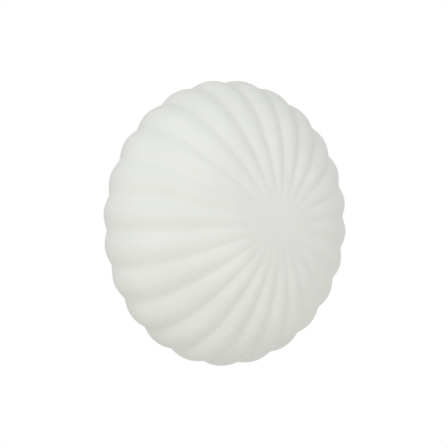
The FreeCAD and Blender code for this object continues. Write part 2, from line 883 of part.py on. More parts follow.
def make_led_board(side_name, across):
    """A printed board on edge, in the X-Y plane's middle, with a row of LEDs on each face."""
    board = doc.addObject("Part::Box", f"board_{side_name}")
    board.setExpression("Length", "sizes.board_width")
    board.setExpression("Width", "sizes.board_height")
    board.setExpression("Height", "sizes.board_wall")
    foot = f"-{bulb_seat} - sizes.bulb_base_height"
    place(
        board,
        f"{across} - sizes.board_width / 2",
        f"{foot} - sizes.board_height",
        "-sizes.board_wall / 2",
    )
    chips = []
    count = int(size("(sizes.board_height - sizes.chip_pitch) / sizes.chip_pitch"))
    lifts = {
        "low": "-sizes.board_wall / 2 - sizes.chip_wall",
        "high": "sizes.board_wall / 2",
    }
    for face_name, lift in lifts.items():
        for index in range(count):
            chip = doc.addObject("Part::Box", f"chip_{side_name}_{face_name}_{index}")
            chip.setExpression("Length", "sizes.chip_size")
            chip.setExpression("Width", "sizes.chip_size")
            chip.setExpression("Height", "sizes.chip_wall")
            along = f"{foot} - sizes.chip_pitch * ({index} + 1) - sizes.chip_size / 2"
            chips.append(place(chip, f"{across} - sizes.chip_size / 2", along, lift))
    node(f"led_board_{side_name}", board)
    group(f"led_chips_{side_name}", chips)


for name, side in SIDES.items():
    across = f"{side} * sizes.holder_spacing / 2"
    middle = size(across)
    loops = [
        make_pin_loop(middle, end * size("sizes.pin_spacing / 2")) for end in SIDES.values()
    ]
    free_shape(f"bulb_pins_{name}", Part.makeCompound(loops))
    base = make_bulb_base(f"base_{name}")
    node(f"bulb_base_{name}", place(base, across, f"-{bulb_seat}"))
    cover = make_bulb_cover(name)
    forward = Rotation(Vector(1, 0, 0), 90)
    cover_seat = f"-{bulb_seat} - {bulb_base_top}"
    node(f"bulb_cover_{name}", place(cover, across, cover_seat, "0", forward))
    make_led_board(name, across)


# Terminal block: a moulded block with three brass inserts, two clamp screws in each, held to
# the pan's inside by two screws.

insert_depth = f"({pan_inside} - sizes.insert_rise)"
block_width = "(2 * (sizes.pole_pitch + sizes.insert_radius + sizes.block_margin))"
insert_hole = "(sizes.insert_radius + sizes.thread_gap)"
screw_hole = "(sizes.clamp_screw_radius + sizes.thread_gap)"
core_top = "(sizes.core_offset + sizes.core_radius)"
POLES = {"live": -1, "earth": 0, "neutral": 1}

block = doc.addObject("PartDesign::Body", "block")
padded(
    block,
    "block_body",
    rectangle(block_width, "sizes.block_height", "0", f"-{pan_inside} + sizes.block_height / 2"),
    "sizes.block_length",
    "XY_Plane",
    True,
)


block_poles = [f"{pole} * sizes.pole_pitch" for pole in POLES.values()]
clamp_rows = [f"{end} * sizes.clamp_screw_spacing / 2" for end in SIDES.values()]
fixing_hole = "sizes.small_screw_radius + sizes.bolt_gap / 2"
pocketed(
    block,
    "insert_holes",
    [(across, f"-{insert_depth}", insert_hole) for across in block_poles],
    "sizes.block_length + 2 * sizes.overrun",
    role="XY_Plane",
    both_ways=True,
)
clamp_holes = [(across, up, screw_hole) for across in block_poles for up in clamp_rows]
pocketed(block, "clamp_holes", clamp_holes, insert_depth)
fixing_holes = [(f"{side} * sizes.pole_pitch / 2", "0", fixing_hole) for side in SIDES.values()]
pocketed(block, "fixing_holes", fixing_holes, "sizes.pan_depth")
node("terminal_block", place(block, z="-sizes.block_drop"))

inserts = []
clamp_screws = []
for pole_name, pole in POLES.items():
    across = f"{pole} * sizes.pole_pitch"
    insert = doc.addObject("PartDesign::Body", f"insert_{pole_name}")
    insert_sketch = new_sketch(insert, "XY_Plane", f"insert_ring_{pole_name}")
    add_circle(insert_sketch, "0", f"-{insert_depth}", "sizes.insert_radius")
    add_circle(insert_sketch, "0", f"-{insert_depth}", "sizes.insert_bore")
    tube = insert.newObject("PartDesign::Pad", f"insert_tube_{pole_name}")
    tube.Profile = insert_sketch
    tube.Midplane = True
    tube.setExpression("Length", "sizes.block_length - 2 * sizes.insert_inset")
    cross_holes = [("0", up, screw_hole) for up in clamp_rows]
    pocketed(insert, f"cross_holes_{pole_name}", cross_holes, insert_depth)
    inserts.append(place(insert, across, "0", "-sizes.block_drop"))
    for end_name, end in (("low", -1), ("high", 1)):
        back = f"-{pan_inside} + sizes.block_height - sizes.clamp_screw_inset"
        tip = f"-{insert_depth} + {core_top} + sizes.wire_gap"
        screw_name = f"clamp_screw_{pole_name}_{end_name}"
        screw = make_round_piece(screw_name, "sizes.clamp_screw_radius", back, tip)
        up = f"-sizes.block_drop + {end} * sizes.clamp_screw_spacing / 2"
        clamp_screws.append(place(screw, across, "0", up))
group("terminal_inserts", inserts)
group("terminal_screws", clamp_screws)

fixing_screws = []
for name, side in SIDES.items():
    length = "(sizes.block_height + sizes.pan_wall + 2 * sizes.screw_tail)"
    screw = make_pan_head_screw(
        f"block_screw_{name}",
        "sizes.small_screw_radius",
        "sizes.block_head_radius",
        "sizes.block_head",
        length,
    )
    towards_front = Rotation(Vector(0, 0, 1), 180)
    seat = f"-{pan_inside} + sizes.block_height"
    across = f"{side} * sizes.pole_pitch / 2"
    fixing_screws.append(place(screw, across, seat, "-sizes.block_drop", towards_front))
group("block_fixing_screws", fixing_screws)


# Earth point: a screw from behind through a ring terminal, a toothed washer and the pan, with
# a nut in front.

tag_depth = f"(-{pan_inside} + sizes.washer_wall)"
tag_back = f"({tag_depth} + sizes.tag_wall)"

washer = make_washer("earth_ring", earth_hole, "sizes.earth_washer_radius", "sizes.washer_wall")
node("earth_washer", place(washer, "sizes.earth_across", tag_depth, f"-{earth_down}"))

earth_length = (
    "(sizes.tag_wall + sizes.washer_wall + sizes.pan_wall"
    " + sizes.earth_nut_height + sizes.screw_tail)"
)
earth_screw = make_pan_head_screw(
    "earth_bolt",
    "sizes.earth_screw_radius",
    "sizes.earth_head_radius",
    "sizes.earth_head",
    earth_length,
)
towards_front = Rotation(Vector(0, 0, 1), 180)
place(earth_screw, "sizes.earth_across", tag_back, f"-{earth_down}", towards_front)
node("earth_screw", earth_screw)
earth_nut = make_hex_nut("earth_hex", "sizes.earth_nut_flats", "sizes.earth_nut_height", earth_hole)
node("earth_nut", place(earth_nut, "sizes.earth_across", "-sizes.pan_depth", f"-{earth_down}"))

tag_axis = f"({tag_back} + sizes.tag_lift)"
barrel_bore = "(sizes.wire_radius + sizes.contact_gap)"


def make_earth_tag():
    """A flat ring with a tongue that carries a crimped barrel for the wire."""
    centre = Vector(size("sizes.earth_across"), size(tag_depth), -size(earth_down))
    towards_wall = Vector(0, 1, 0)
    wall = size("sizes.tag_wall")
    ring = Part.makeCylinder(size("sizes.tag_radius"), wall, centre, towards_wall)
    reach = size("sizes.tag_reach")
    length = size("sizes.tag_barrel_length")
    barrel_radius = size("sizes.tag_barrel_radius")
    far = Vector(centre.x - reach - length, size(tag_axis), centre.z)
    barrel = Part.makeCylinder(barrel_radius, length, far, Vector(1, 0, 0))
    tongue_corner = centre - Vector(reach + wall, 0, barrel_radius)
    tongue = Part.makeBox(reach + wall, wall, 2 * barrel_radius, tongue_corner)
    neck_corner = Vector(tongue_corner.x, centre.y, tongue_corner.z)
    neck = Part.makeBox(wall, size(tag_axis) - centre.y, 2 * barrel_radius, neck_corner)
    whole = ring.fuse([barrel, tongue, neck])
    hole = Part.makeCylinder(size(earth_hole), wall, centre, towards_wall)
    bore = Part.makeCylinder(size(barrel_bore), length, far, Vector(1, 0, 0))
    return whole.cut([hole, bore]).removeSplitter()


free_shape("earth_tag", make_earth_tag())


# Wires: insulated leads from the terminal block to the lampholders and to the earth tag.
# The two leads of a pole lie one behind the other in its insert.


BEND_SHARE = 0.45


def rounded_path(points):
    """Straight runs joined by tangent arcs, each as large as its two runs allow."""
    edges = []
    radii = []
    start = points[0]
    for before, corner, after in zip(points, points[1:], points[2:]):
        inward = (before - corner).normalize()
        onward = (after - corner).normalize()
        half_turn = (math.pi - inward.getAngle(onward)) / 2
        trim = BEND_SHARE * min((corner - before).Length, (after - corner).Length)
        radius = trim / math.tan(half_turn)
        enter = corner + inward * trim
        leave = corner + onward * trim
        bisector = (inward + onward).normalize()
        middle = corner + bisector * (radius / math.cos(half_turn) - radius)
        edges.append(Part.LineSegment(start, enter).toShape())
        edges.append(Part.Arc(enter, middle, leave).toShape())
        radii.append(round(radius, 1))
        start = leave
    edges.append(Part.LineSegment(start, points[-1]).toShape())
    return Part.Wire(edges), radii


def make_wire(label, points, bare_ends):
    """A lead along a route, with a bare core beyond each end that is listed."""
    radius = size("sizes.wire_radius")
    core_radius = size("sizes.core_radius")
    path, radii = rounded_path(points)
    first = (points[1] - points[0]).normalize()
    section = Part.Wire(Part.makeCircle(radius, points[0], first))
    lead = path.makePipeShell([section], True, True)
    expected = math.pi * radius ** 2 * path.Length
    print(label, "bend radii", radii, "volume ratio", round(lead.Volume / expected, 4))
    for end, following, length in bare_ends:
        away = (end - following).normalize()
        core = Part.makeCylinder(core_radius, length, end, away)
        lead = lead.fuse(core)
    return free_shape(label, lead)


contact_depth = size("-sizes.pan_depth - sizes.holder_height + sizes.socket_depth")
entry_top = size("-sizes.block_drop + sizes.block_length / 2")
lead_in = size("sizes.wire_lead_in")
core_length = size("sizes.core_length")
for name, side in SIDES.items():
    depth = size(f"-{insert_depth} + {side} * sizes.core_offset")
    holder_across = size(f"{side} * sizes.holder_spacing / 2")
    start_depth = size("-sizes.pan_depth - sizes.wire_entry")
    for pole_name in ("live", "neutral"):
        pole = POLES[pole_name]
        pole_across = size(f"{pole} * sizes.pole_pitch")
        pin_up = -side * pole * size("sizes.pin_spacing / 2")
        route = [
            Vector(holder_across, start_depth, pin_up),
            Vector(holder_across, depth, pin_up),
            Vector(pole_across, depth, entry_top + lead_in),
            Vector(pole_across, depth, entry_top),
        ]
        to_contact = start_depth - contact_depth
        ends = [(route[0], route[1], to_contact), (route[-1], route[-2], core_length)]
        make_wire(f"{pole_name}_wire_{name}", route, ends)

block_foot = size("-sizes.block_drop - sizes.block_length / 2")
earth_level = size(tag_axis)
tag_end = size("sizes.earth_across - sizes.tag_reach - sizes.tag_barrel_length")
earth_up = -size(earth_down)
earth_route = [
    Vector(0, size(f"-{insert_depth}"), block_foot),
    Vector(0, size(f"-{insert_depth}"), block_foot - lead_in),
    Vector(tag_end - lead_in, earth_level, earth_up),
    Vector(tag_end + size("sizes.tag_barrel_length / 2"), earth_level, earth_up),
]
make_wire("earth_wire", earth_route, [(earth_route[0], earth_route[1], core_length)])


doc.recompute()

for item in doc.Objects:
    if "Invalid" in item.State or "Error" in item.State:
        raise RuntimeError(f"{item.Label} could not be made: {item.State}")
for piece in nodes:
    if piece.Shape.isNull() or not piece.Shape.isValid():
        raise RuntimeError(f"{piece.Label} has no valid shape")

os.makedirs("parts", exist_ok=True)
for piece in nodes:
    piece.Shape.exportStep(f"parts/{piece.Label}.step")
print(len(nodes), "nodes written")
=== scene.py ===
import math

import bmesh
import bpy
from mathutils import Matrix, Vector


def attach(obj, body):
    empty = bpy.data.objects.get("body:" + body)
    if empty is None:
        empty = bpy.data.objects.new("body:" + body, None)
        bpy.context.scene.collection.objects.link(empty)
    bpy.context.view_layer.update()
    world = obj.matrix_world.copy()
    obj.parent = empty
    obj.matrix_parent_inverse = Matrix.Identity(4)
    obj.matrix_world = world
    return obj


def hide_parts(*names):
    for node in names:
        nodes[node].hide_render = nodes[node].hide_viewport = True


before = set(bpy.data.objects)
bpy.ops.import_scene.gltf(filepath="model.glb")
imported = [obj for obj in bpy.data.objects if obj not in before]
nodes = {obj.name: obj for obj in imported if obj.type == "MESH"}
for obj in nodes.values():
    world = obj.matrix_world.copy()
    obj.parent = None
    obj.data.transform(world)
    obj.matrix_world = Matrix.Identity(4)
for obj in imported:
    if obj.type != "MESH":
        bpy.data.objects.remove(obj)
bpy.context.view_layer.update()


# Wall bracket: the strip of zinc-plated steel that is screwed to the wall. It was sheared and
# punched from cold-rolled sheet, so its edges are slightly broken and the plating shows a faint
# grain and bluish, cloudy patches.

MM = 0.001
WELD = 0.001 * MM
FLAT_ANGLE = math.radians(1)
SHARP_ANGLE = math.radians(40)
EDGE_STEPS = 2
CLOUD_STOPS = (0.35, 0.65)
ZINC_LIGHT = "#C9CCCE"
ZINC_DARK = "#B5B9BC"
ZINC_CLOUD = 9 * MM
# Plating grain is a tenth of this: it is drawn coarser, so that it shows.
ZINC_GRAIN = 0.35 * MM
ZINC_RELIEF = 0.01 * MM
BRACKET_EDGE = 0.25 * MM


def linear(code):
    """The linear colour of an sRGB hex value."""
    parts = [int(code[start:start + 2], 16) / 255 for start in (1, 3, 5)]
    return [c / 12.92 if c <= 0.04045 else ((c + 0.055) / 1.055) ** 2.4 for c in parts] + [1.0]


def new_finish(name, colour, roughness, metallic=0.0, ior=1.5):
    """A material, its shader with the even values set, and the places that patterns read."""
    material = bpy.data.materials.new(name)
    material.use_nodes = True
    shader = material.node_tree.nodes["Principled BSDF"]
    shader.inputs["Base Color"].default_value = linear(colour)
    shader.inputs["Roughness"].default_value = roughness
    shader.inputs["Metallic"].default_value = metallic
    shader.inputs["IOR"].default_value = ior
    places = material.node_tree.nodes.new("ShaderNodeTexCoord").outputs["Object"]
    return material, shader, places


def add_node(material, kind, values=None, links=None, stops=None, **settings):
    """One node with its settings, fixed inputs, links and, on a ramp, its stops."""
    tree = material.node_tree
    node = tree.nodes.new(kind)
    for name, value in settings.items():
        setattr(node, name, value)
    for socket, value in (values or {}).items():
        node.inputs[socket].default_value = value
    for socket, source in (links or {}).items():
        tree.links.new(source, node.inputs[socket])
    for index, (position, colour) in enumerate(stops or []):
        ramp = node.color_ramp.elements
        stop = ramp[index] if index < 2 else ramp.new(position)
        stop.position = position
        stop.color = linear(colour)
    return node


def wire_up(material, source, target):
    material.node_tree.links.new(source, target)


def cloud_colour(finish, size, dark, light):
    """Slow patches of two near colours, as wide as size."""
    material, shader, places = finish
    noise = add_node(
        material,
        "ShaderNodeTexNoise",
        {"Scale": 1 / size, "Detail": 3.0},
        {"Vector": places},
    )
    tint = add_node(
        material,
        "ShaderNodeValToRGB",
        links={"Fac": noise.outputs["Fac"]},
        stops=list(zip(CLOUD_STOPS, (dark, light))),
    )
    wire_up(material, tint.outputs["Color"], shader.inputs["Base Color"])


def fine_relief(finish, size, height, stretch=(1, 1, 1), strength=0.5):
    """A grain as wide as size and as high as height, drawn out where stretch is under 1."""
    material, shader, places = finish
    drawn = add_node(
        material,
        "ShaderNodeMapping",
        {"Scale": stretch},
        {"Vector": places},
    )
    noise = add_node(
        material,
        "ShaderNodeTexNoise",
        {"Scale": 1 / size, "Detail": 2.0},
        {"Vector": drawn.outputs["Vector"]},
    )
    bump = add_node(
        material,
        "ShaderNodeBump",
        {"Strength": strength, "Distance": height},
        {"Height": noise.outputs["Fac"]},
    )
    wire_up(material, bump.outputs["Normal"], shader.inputs["Normal"])


def round_off(shape, lines, edge, steps=EDGE_STEPS):
    """Round some edges of a shape off."""
    bmesh.ops.bevel(
        shape,
        geom=lines,
        offset=edge,
        segments=steps,
        profile=0.5,
        affect="EDGES",
        material=-1,
        clamp_overlap=True,
    )


def softened_copy(name, edge, steps=EDGE_STEPS):
    """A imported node's shape with its flats joined and its sharp edges rounded off."""
    shape = bmesh.new()
    shape.from_mesh(nodes[name].data)
    bmesh.ops.remove_doubles(shape, verts=shape.verts, dist=WELD)
    bmesh.ops.dissolve_limit(
        shape,
        angle_limit=FLAT_ANGLE,
        verts=shape.verts,
        edges=shape.edges,
    )
    sharp = [
        line
        for line in shape.edges
        if len(line.link_faces) == 2 and line.calc_face_angle() > SHARP_ANGLE
    ]
    round_off(shape, sharp, edge, steps)
    return shape


def finished_piece(shape, name, material, crease=SHARP_ANGLE):
    """Close the modelling of a mesh: smooth but where it creases, and dressed.

    A merge leaves the mesh in another order each run, so it is put in order of place.
    """
    by_place = sorted(shape.verts, key=lambda vertex: tuple(vertex.co))
    shape.verts.sort(key={vertex: rank for rank, vertex in enumerate(by_place)}.get)
    by_place = sorted(shape.faces, key=lambda face: tuple(face.calc_center_median()))
    shape.faces.sort(key={face: rank for rank, face in enumerate(by_place)}.get)
    for face in shape.faces:
        face.smooth = True
    for edge in shape.edges:
        edge.smooth = len(edge.link_faces) != 2 or edge.calc_face_angle() < crease
    mesh = bpy.data.meshes.new(name)
    shape.to_mesh(mesh)
    shape.free()
    mesh.materials.append(material)
    piece = bpy.data.objects.new(name, mesh)
    bpy.context.scene.collection.objects.link(piece)
    return piece


def stand_for(piece, body, slot, *names):
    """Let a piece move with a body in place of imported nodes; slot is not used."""
    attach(piece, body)
    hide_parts(*names)


def dress(material, *names):
    """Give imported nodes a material."""
    for name in names:
        nodes[name].data.materials.clear()
        nodes[name].data.materials.append(material)


# Zinc plating gives the eye a cool, half-dull metal with cloudy patches.
zinc_finish = new_finish("zinc_plated_steel", ZINC_LIGHT, roughness=0.38, metallic=1.0)
cloud_colour(zinc_finish, ZINC_CLOUD, ZINC_DARK, ZINC_LIGHT)
fine_relief(zinc_finish, ZINC_GRAIN, ZINC_RELIEF)
zinc = zinc_finish[0]

strip = finished_piece(softened_copy("wall_bracket", BRACKET_EDGE), "bracket_strip", zinc)
stand_for(strip, "base", "zinc_steel", "wall_bracket")


# Bracket studs and their lock nuts: threaded M4 rod, rolled and zinc-plated, screwed into the
# bracket and locked with a plain hexagon nut whose corners are turned off.

RIGHT = Vector((1, 0, 0))
UP = Vector((0, 0, 1))
OUT = Vector((0, -1, 0))
STUD_PLACE = 60 * MM
STUD_RADIUS = 2 * MM
STUD_REACH = 26.8 * MM
STUD_TIP = 0.5 * MM
THREAD_PITCH = 0.7 * MM
THREAD_DEPTH = 0.4 * MM
# How deep a thread's ridge is drawn, in thread depths: its foot is sunk in the rod.
THREAD_SINK = 1.5
LOCK_NUT_FLATS = 7 * MM
LOCK_NUT_HEIGHT = 3.2 * MM
LOCK_NUT_BORE = 2.05 * MM
BRACKET_WALL = 2 * MM
NUT_FACE_SHARE = 0.94
NUT_TURNING = math.radians(30)
NUT_LEAD_SHARE = 0.2
NUT_STEPS = 48
ROUND_STEPS = 32
BEND_STEPS = 5
TURNING_STEPS = 14


def rounded(corners, closed=False):
    """A line of (reach, along) points through corners, each rounded off by its third value."""
    line = []
    for index, (reach, along, radius) in enumerate(corners):
        here = Vector((reach, along))
        if not radius or (not closed and index in (0, len(corners) - 1)):
            line.append((reach, along))
            continue
        before = (Vector(corners[index - 1][:2]) - here).normalized()
        after = (Vector(corners[(index + 1) % len(corners)][:2]) - here).normalized()
        half = before.angle(after) / 2
        middle = here + (before + after).normalized() * radius / math.sin(half)
        first = here + before * radius / math.tan(half) - middle
        last = here + after * radius / math.tan(half) - middle
        for step in range(BEND_STEPS + 1):
            line.append(tuple(middle + first.slerp(last, step / BEND_STEPS) * radius))
    return line


def turn_form(shape, line, foot, axis, steps=ROUND_STEPS, closed=False, parts=1):
    """A form turned about an axis through foot, from (reach, along) points; its own points.

    With parts, one part of the turn is made in steps and then repeated, which is quicker.
    """
    others = set(shape.verts)
    chain = [shape.verts.new(foot + RIGHT * reach + axis * along) for reach, along in line]
    path = chain + chain[:1] if closed else chain
    edges = [shape.edges.new(pair) for pair in zip(path, path[1:])]
    about = {"cent": foot, "axis": axis}
    bmesh.ops.spin(
        shape,
        geom=chain + edges,
        angle=2 * math.pi / parts,
        steps=steps,
        use_merge=parts == 1,
        **about,
    )
    if parts > 1:
        bmesh.ops.spin(
            shape,
            geom=shape.verts[:] + shape.edges[:] + shape.faces[:],
            angle=2 * math.pi * (1 - 1 / parts),
            steps=parts - 1,
            use_duplicate=True,
            **about,
        )
    fresh = [vertex for vertex in shape.verts if vertex not in others]
    bmesh.ops.remove_doubles(shape, verts=fresh, dist=WELD)
    fresh = [vertex for vertex in shape.verts if vertex not in others]
    faces = list(dict.fromkeys(face for vertex in fresh for face in vertex.link_faces))
    bmesh.ops.recalc_face_normals(shape, faces=faces)
    return fresh


def wind_thread(shape, foot, axis, radius, length, pitch=THREAD_PITCH, depth=THREAD_DEPTH):
    """The ridge of a rolled thread, wound along a rod from foot."""
    sunk = radius - THREAD_SINK * depth
    corners = [(sunk, -pitch / 2), (radius, 0), (sunk, pitch / 2)]
    start = foot + axis * pitch / 2
    tooth = [shape.verts.new(start + RIGHT * reach + axis * along) for reach, along in corners]
    face = shape.faces.new(tooth)
    turns = length / pitch - 1
    steps = round(turns * TURNING_STEPS)
    others = set(shape.verts) - set(tooth)
    bmesh.ops.spin(
        shape,
        geom=tooth + list(face.edges) + [face],
        cent=foot,
        axis=axis,
        dvec=axis * turns * pitch / steps,
        angle=2 * math.pi * turns,
        steps=steps,
    )
    faces = [item for item in shape.faces if not others.intersection(item.verts)]
    bmesh.ops.recalc_face_normals(shape, faces=faces)


def cut_flats(verts, foot, axis, flats, sides=6):
    """Pull a turned form's points in to the flats of a nut."""
    side = axis.cross(RIGHT)
    for vertex in verts:
        along = axis * (vertex.co - foot).dot(axis)
        spoke = vertex.co - foot - along
        turn = math.atan2(spoke.dot(side), spoke.dot(RIGHT)) % (2 * math.pi / sides)
        reach = flats / 2 / math.cos(turn - math.pi / sides)
        if spoke.length > reach:
            vertex.co = foot + along + spoke.normalized() * reach


def add_nut(shape, foot, axis, flats, height, bore):
    """A hexagon nut whose corners are turned off to a cone on both faces."""
    corner = flats / math.sqrt(3)
    face = NUT_FACE_SHARE * flats / 2
    slope = (corner - face) * math.tan(NUT_TURNING)
    lead = NUT_LEAD_SHARE * (face - bore)
    line = [
        (bore, lead),
        (bore + lead, 0),
        (face, 0),
        (corner, slope),
        (corner, height - slope),
        (face, height),
        (bore + lead, height),
        (bore, height - lead),
    ]
    verts = turn_form(shape, line, foot, axis, NUT_STEPS, closed=True)
    cut_flats(verts, foot, axis, flats)


studs = bmesh.new()
lock_nuts = bmesh.new()
for side in (-1, 1):
    foot = RIGHT * side * STUD_PLACE
    core = STUD_RADIUS - THREAD_DEPTH
    rod = [(0, 0), (core, 0), (core, STUD_REACH - STUD_TIP), (core - STUD_TIP, STUD_REACH)]
    turn_form(studs, rod + [(0, STUD_REACH)], foot, OUT)
    wind_thread(studs, foot, OUT, STUD_RADIUS, STUD_REACH - STUD_TIP)
    seat = foot + OUT * BRACKET_WALL
    add_nut(lock_nuts, seat, OUT, LOCK_NUT_FLATS, LOCK_NUT_HEIGHT, LOCK_NUT_BORE)
stand_for(finished_piece(studs, "stud_rods", zinc), "base", "zinc_steel", "bracket_studs")
lock_nuts_piece = finished_piece(lock_nuts, "lock_nuts", zinc)
stand_for(lock_nuts_piece, "base", "zinc_steel", "stud_lock_nuts")


# Base pan: drawn from 1.2 mm steel sheet and powder-coated satin white. The baked powder leaves
# an even, slightly lumpy skin, like fine orange peel, that breaks up its soft reflections.

COAT_WHITE = "#E6E6E2"
COAT_SHADE = "#DFDFDA"
COAT_PATCH = 45 * MM
PEEL_SIZE = 1.4 * MM
PEEL_HEIGHT = 0.02 * MM

# The powder coat gives the eye a satin white whose highlights are broken up by the peel.
powder_coat_finish = new_finish("white_powder_coat", COAT_WHITE, roughness=0.42)
cloud_colour(powder_coat_finish, COAT_PATCH, COAT_SHADE, COAT_WHITE)
fine_relief(powder_coat_finish, PEEL_SIZE, PEEL_HEIGHT)
dress(powder_coat_finish[0], "base_pan")


# Spring catches and rivets: three strips of hard rolled spring steel, bent to a snap that grips
# behind the glass's lip, each held by a domed aluminium rivet that is set from behind.

CATCH_COUNT = 3
FIRST_CATCH = math.pi / 2
CATCH_WIDTH = 12 * MM
CATCH_WALL = 0.6 * MM
CATCH_EDGE = 0.1 * MM
CATCH_CORNER = math.radians(60)
CATCH_LINE = [
    (65.0 * MM, 18.3 * MM, 0),
    (80.5 * MM, 18.3 * MM, 1.6 * MM),
    (91.15 * MM, 9.35 * MM, 1.2 * MM),
    (87.0 * MM, 5.2 * MM, 0),
]
STEEL_LIGHT = "#B9BABA"
STEEL_DARK = "#A3A4A6"
STEEL_PATCH = 4 * MM
# Rolling and drawing marks are a few hundredths wide: they are drawn coarser, so that they show.
ROLL_SIZE = 0.25 * MM
ROLL_HEIGHT = 0.004 * MM
ROLL_STRETCH = 0.15
RIVET_CIRCLE = 71 * MM
RIVET_RADIUS = 1.6 * MM
RIVET_HEAD_RADIUS = 3 * MM
RIVET_HEAD = 1.2 * MM
RIVET_FRONT = 19.8 * MM
RIVET_BACK = 15.6 * MM
RIVET_LIGHT = "#CFD0D2"
RIVET_DARK = "#BFC0C3"
DOME_ROWS = 5


def dome(reach, low, high, start=0.0):
    """Points of a round-topped head from its rim to its top, from the share start of its reach."""
    line = []
    for row in range(DOME_ROWS + 1):
        turn = math.pi / 2 * row / DOME_ROWS
        share = math.cos(turn) * (1 - start) + start
        line.append((reach * share, low + (high - low) * math.sin(turn)))
    return line


# Spring steel gives the eye a darker, sharper shine than zinc, with fine lines along the strip.
steel_finish = new_finish("rolled_spring_steel", STEEL_LIGHT, roughness=0.28, metallic=1.0)
cloud_colour(steel_finish, STEEL_PATCH, STEEL_DARK, STEEL_LIGHT)
fine_relief(steel_finish, ROLL_SIZE, ROLL_HEIGHT, (1, 1, ROLL_STRETCH))
# Plain aluminium gives the eye a pale, soft metal, a little mottled by the rivet set.
aluminium_finish = new_finish("plain_aluminium", RIVET_LIGHT, roughness=0.35, metallic=1.0)
cloud_colour(aluminium_finish, STEEL_PATCH, RIVET_DARK, RIVET_LIGHT)
fine_relief(aluminium_finish, ROLL_SIZE, ROLL_HEIGHT)

middle_line = [Vector(point) for point in rounded(CATCH_LINE)]
faces_line = []
for index, point in enumerate(middle_line):
    ahead = middle_line[min(index + 1, len(middle_line) - 1)]
    behind = middle_line[max(index - 1, 0)]
    across = (ahead - behind).normalized().orthogonal() * CATCH_WALL / 2
    faces_line.append((point + across, point - across))
catch_outline = [pair[0] for pair in faces_line] + [pair[1] for pair in faces_line[::-1]]
rivets = bmesh.new()
for index, name in enumerate(("top", "left", "right")):
    turn = Matrix.Rotation(FIRST_CATCH + index * 2 * math.pi / CATCH_COUNT, 3, OUT)
    catch = bmesh.new()
    edge_on = UP * CATCH_WIDTH / 2
    ring = [
        catch.verts.new(RIGHT * reach + OUT * front - edge_on)
        for reach, front in catch_outline
    ]
    made = bmesh.ops.extrude_face_region(catch, geom=[catch.faces.new(ring)])
    grown = [item for item in made["geom"] if isinstance(item, bmesh.types.BMVert)]
    bmesh.ops.translate(catch, verts=grown, vec=edge_on * 2)
    bmesh.ops.recalc_face_normals(catch, faces=catch.faces)
    rims = [edge for edge in catch.edges if edge.calc_face_angle(0) > CATCH_CORNER]
    round_off(catch, rims, CATCH_EDGE)
    bmesh.ops.rotate(catch, verts=catch.verts, cent=(0, 0, 0), matrix=turn)
    catch_piece = finished_piece(catch, f"catch_strip_{name}", steel_finish[0])
    stand_for(catch_piece, "base", "spring_steel", f"spring_catch_{name}")

    foot = turn @ (RIGHT * RIVET_CIRCLE)
    front_seat = RIVET_FRONT - RIVET_HEAD
    back_seat = RIVET_BACK + RIVET_HEAD
    front_dome = dome(RIVET_HEAD_RADIUS, front_seat, RIVET_FRONT)
    back_dome = dome(RIVET_HEAD_RADIUS, back_seat, RIVET_BACK)
    shank = [(RIVET_RADIUS, back_seat), (RIVET_RADIUS, front_seat)]
    turn_form(rivets, back_dome[::-1] + shank + front_dome, foot, OUT)
rivets_piece = finished_piece(rivets, "domed_rivets", aluminium_finish[0])
stand_for(rivets_piece, "base", "rivet_aluminium", "catch_rivets")


# Lampholders: pressed and fired steatite blocks with a white glaze, which pools glossy and soft
# over the edges. Two pan-head screws and nuts hold each, and bronze springs grip the bulb's pins.

HOLDER_EDGE = 0.5 * MM
HOLDER_EDGE_STEPS = 3
GLAZE_WHITE = "#ECEAE3"
GLAZE_SHADE = "#E5E2D9"
GLAZE_PATCH = 12 * MM
GLAZE_RIPPLE = 3 * MM
GLAZE_HEIGHT = 0.03 * MM
BRONZE_LIGHT = "#C79A63"
BRONZE_DARK = "#9C7446"
BRONZE_PATCH = 2.5 * MM
HOLDER_PLACE = 32 * MM
EAR_SCREW_PLACE = 15.5 * MM
EAR_FACE = 23 * MM
PAN_DEPTH = 18 * MM
PAN_INSIDE = 16.8 * MM
SMALL_SCREW_RADIUS = 1.5 * MM
SMALL_HEAD_RADIUS = 2.8 * MM
SMALL_HEAD = 2 * MM
SMALL_SCREW_LENGTH = 9.4 * MM
SMALL_PITCH = 0.5 * MM
SMALL_THREAD_DEPTH = 0.3 * MM
SMALL_NUT_FLATS = 5.5 * MM
SMALL_NUT_HEIGHT = 2.4 * MM
SMALL_NUT_BORE = 1.55 * MM
HEAD_RIM_SHARE = 0.45
RECESS_REACH_SHARE = 0.62
RECESS_WIDTH_SHARE = 0.26
RECESS_DEPTH_SHARE = 0.55
RECESS_TAPER = 0.7
RECESS_FACING = 0.3


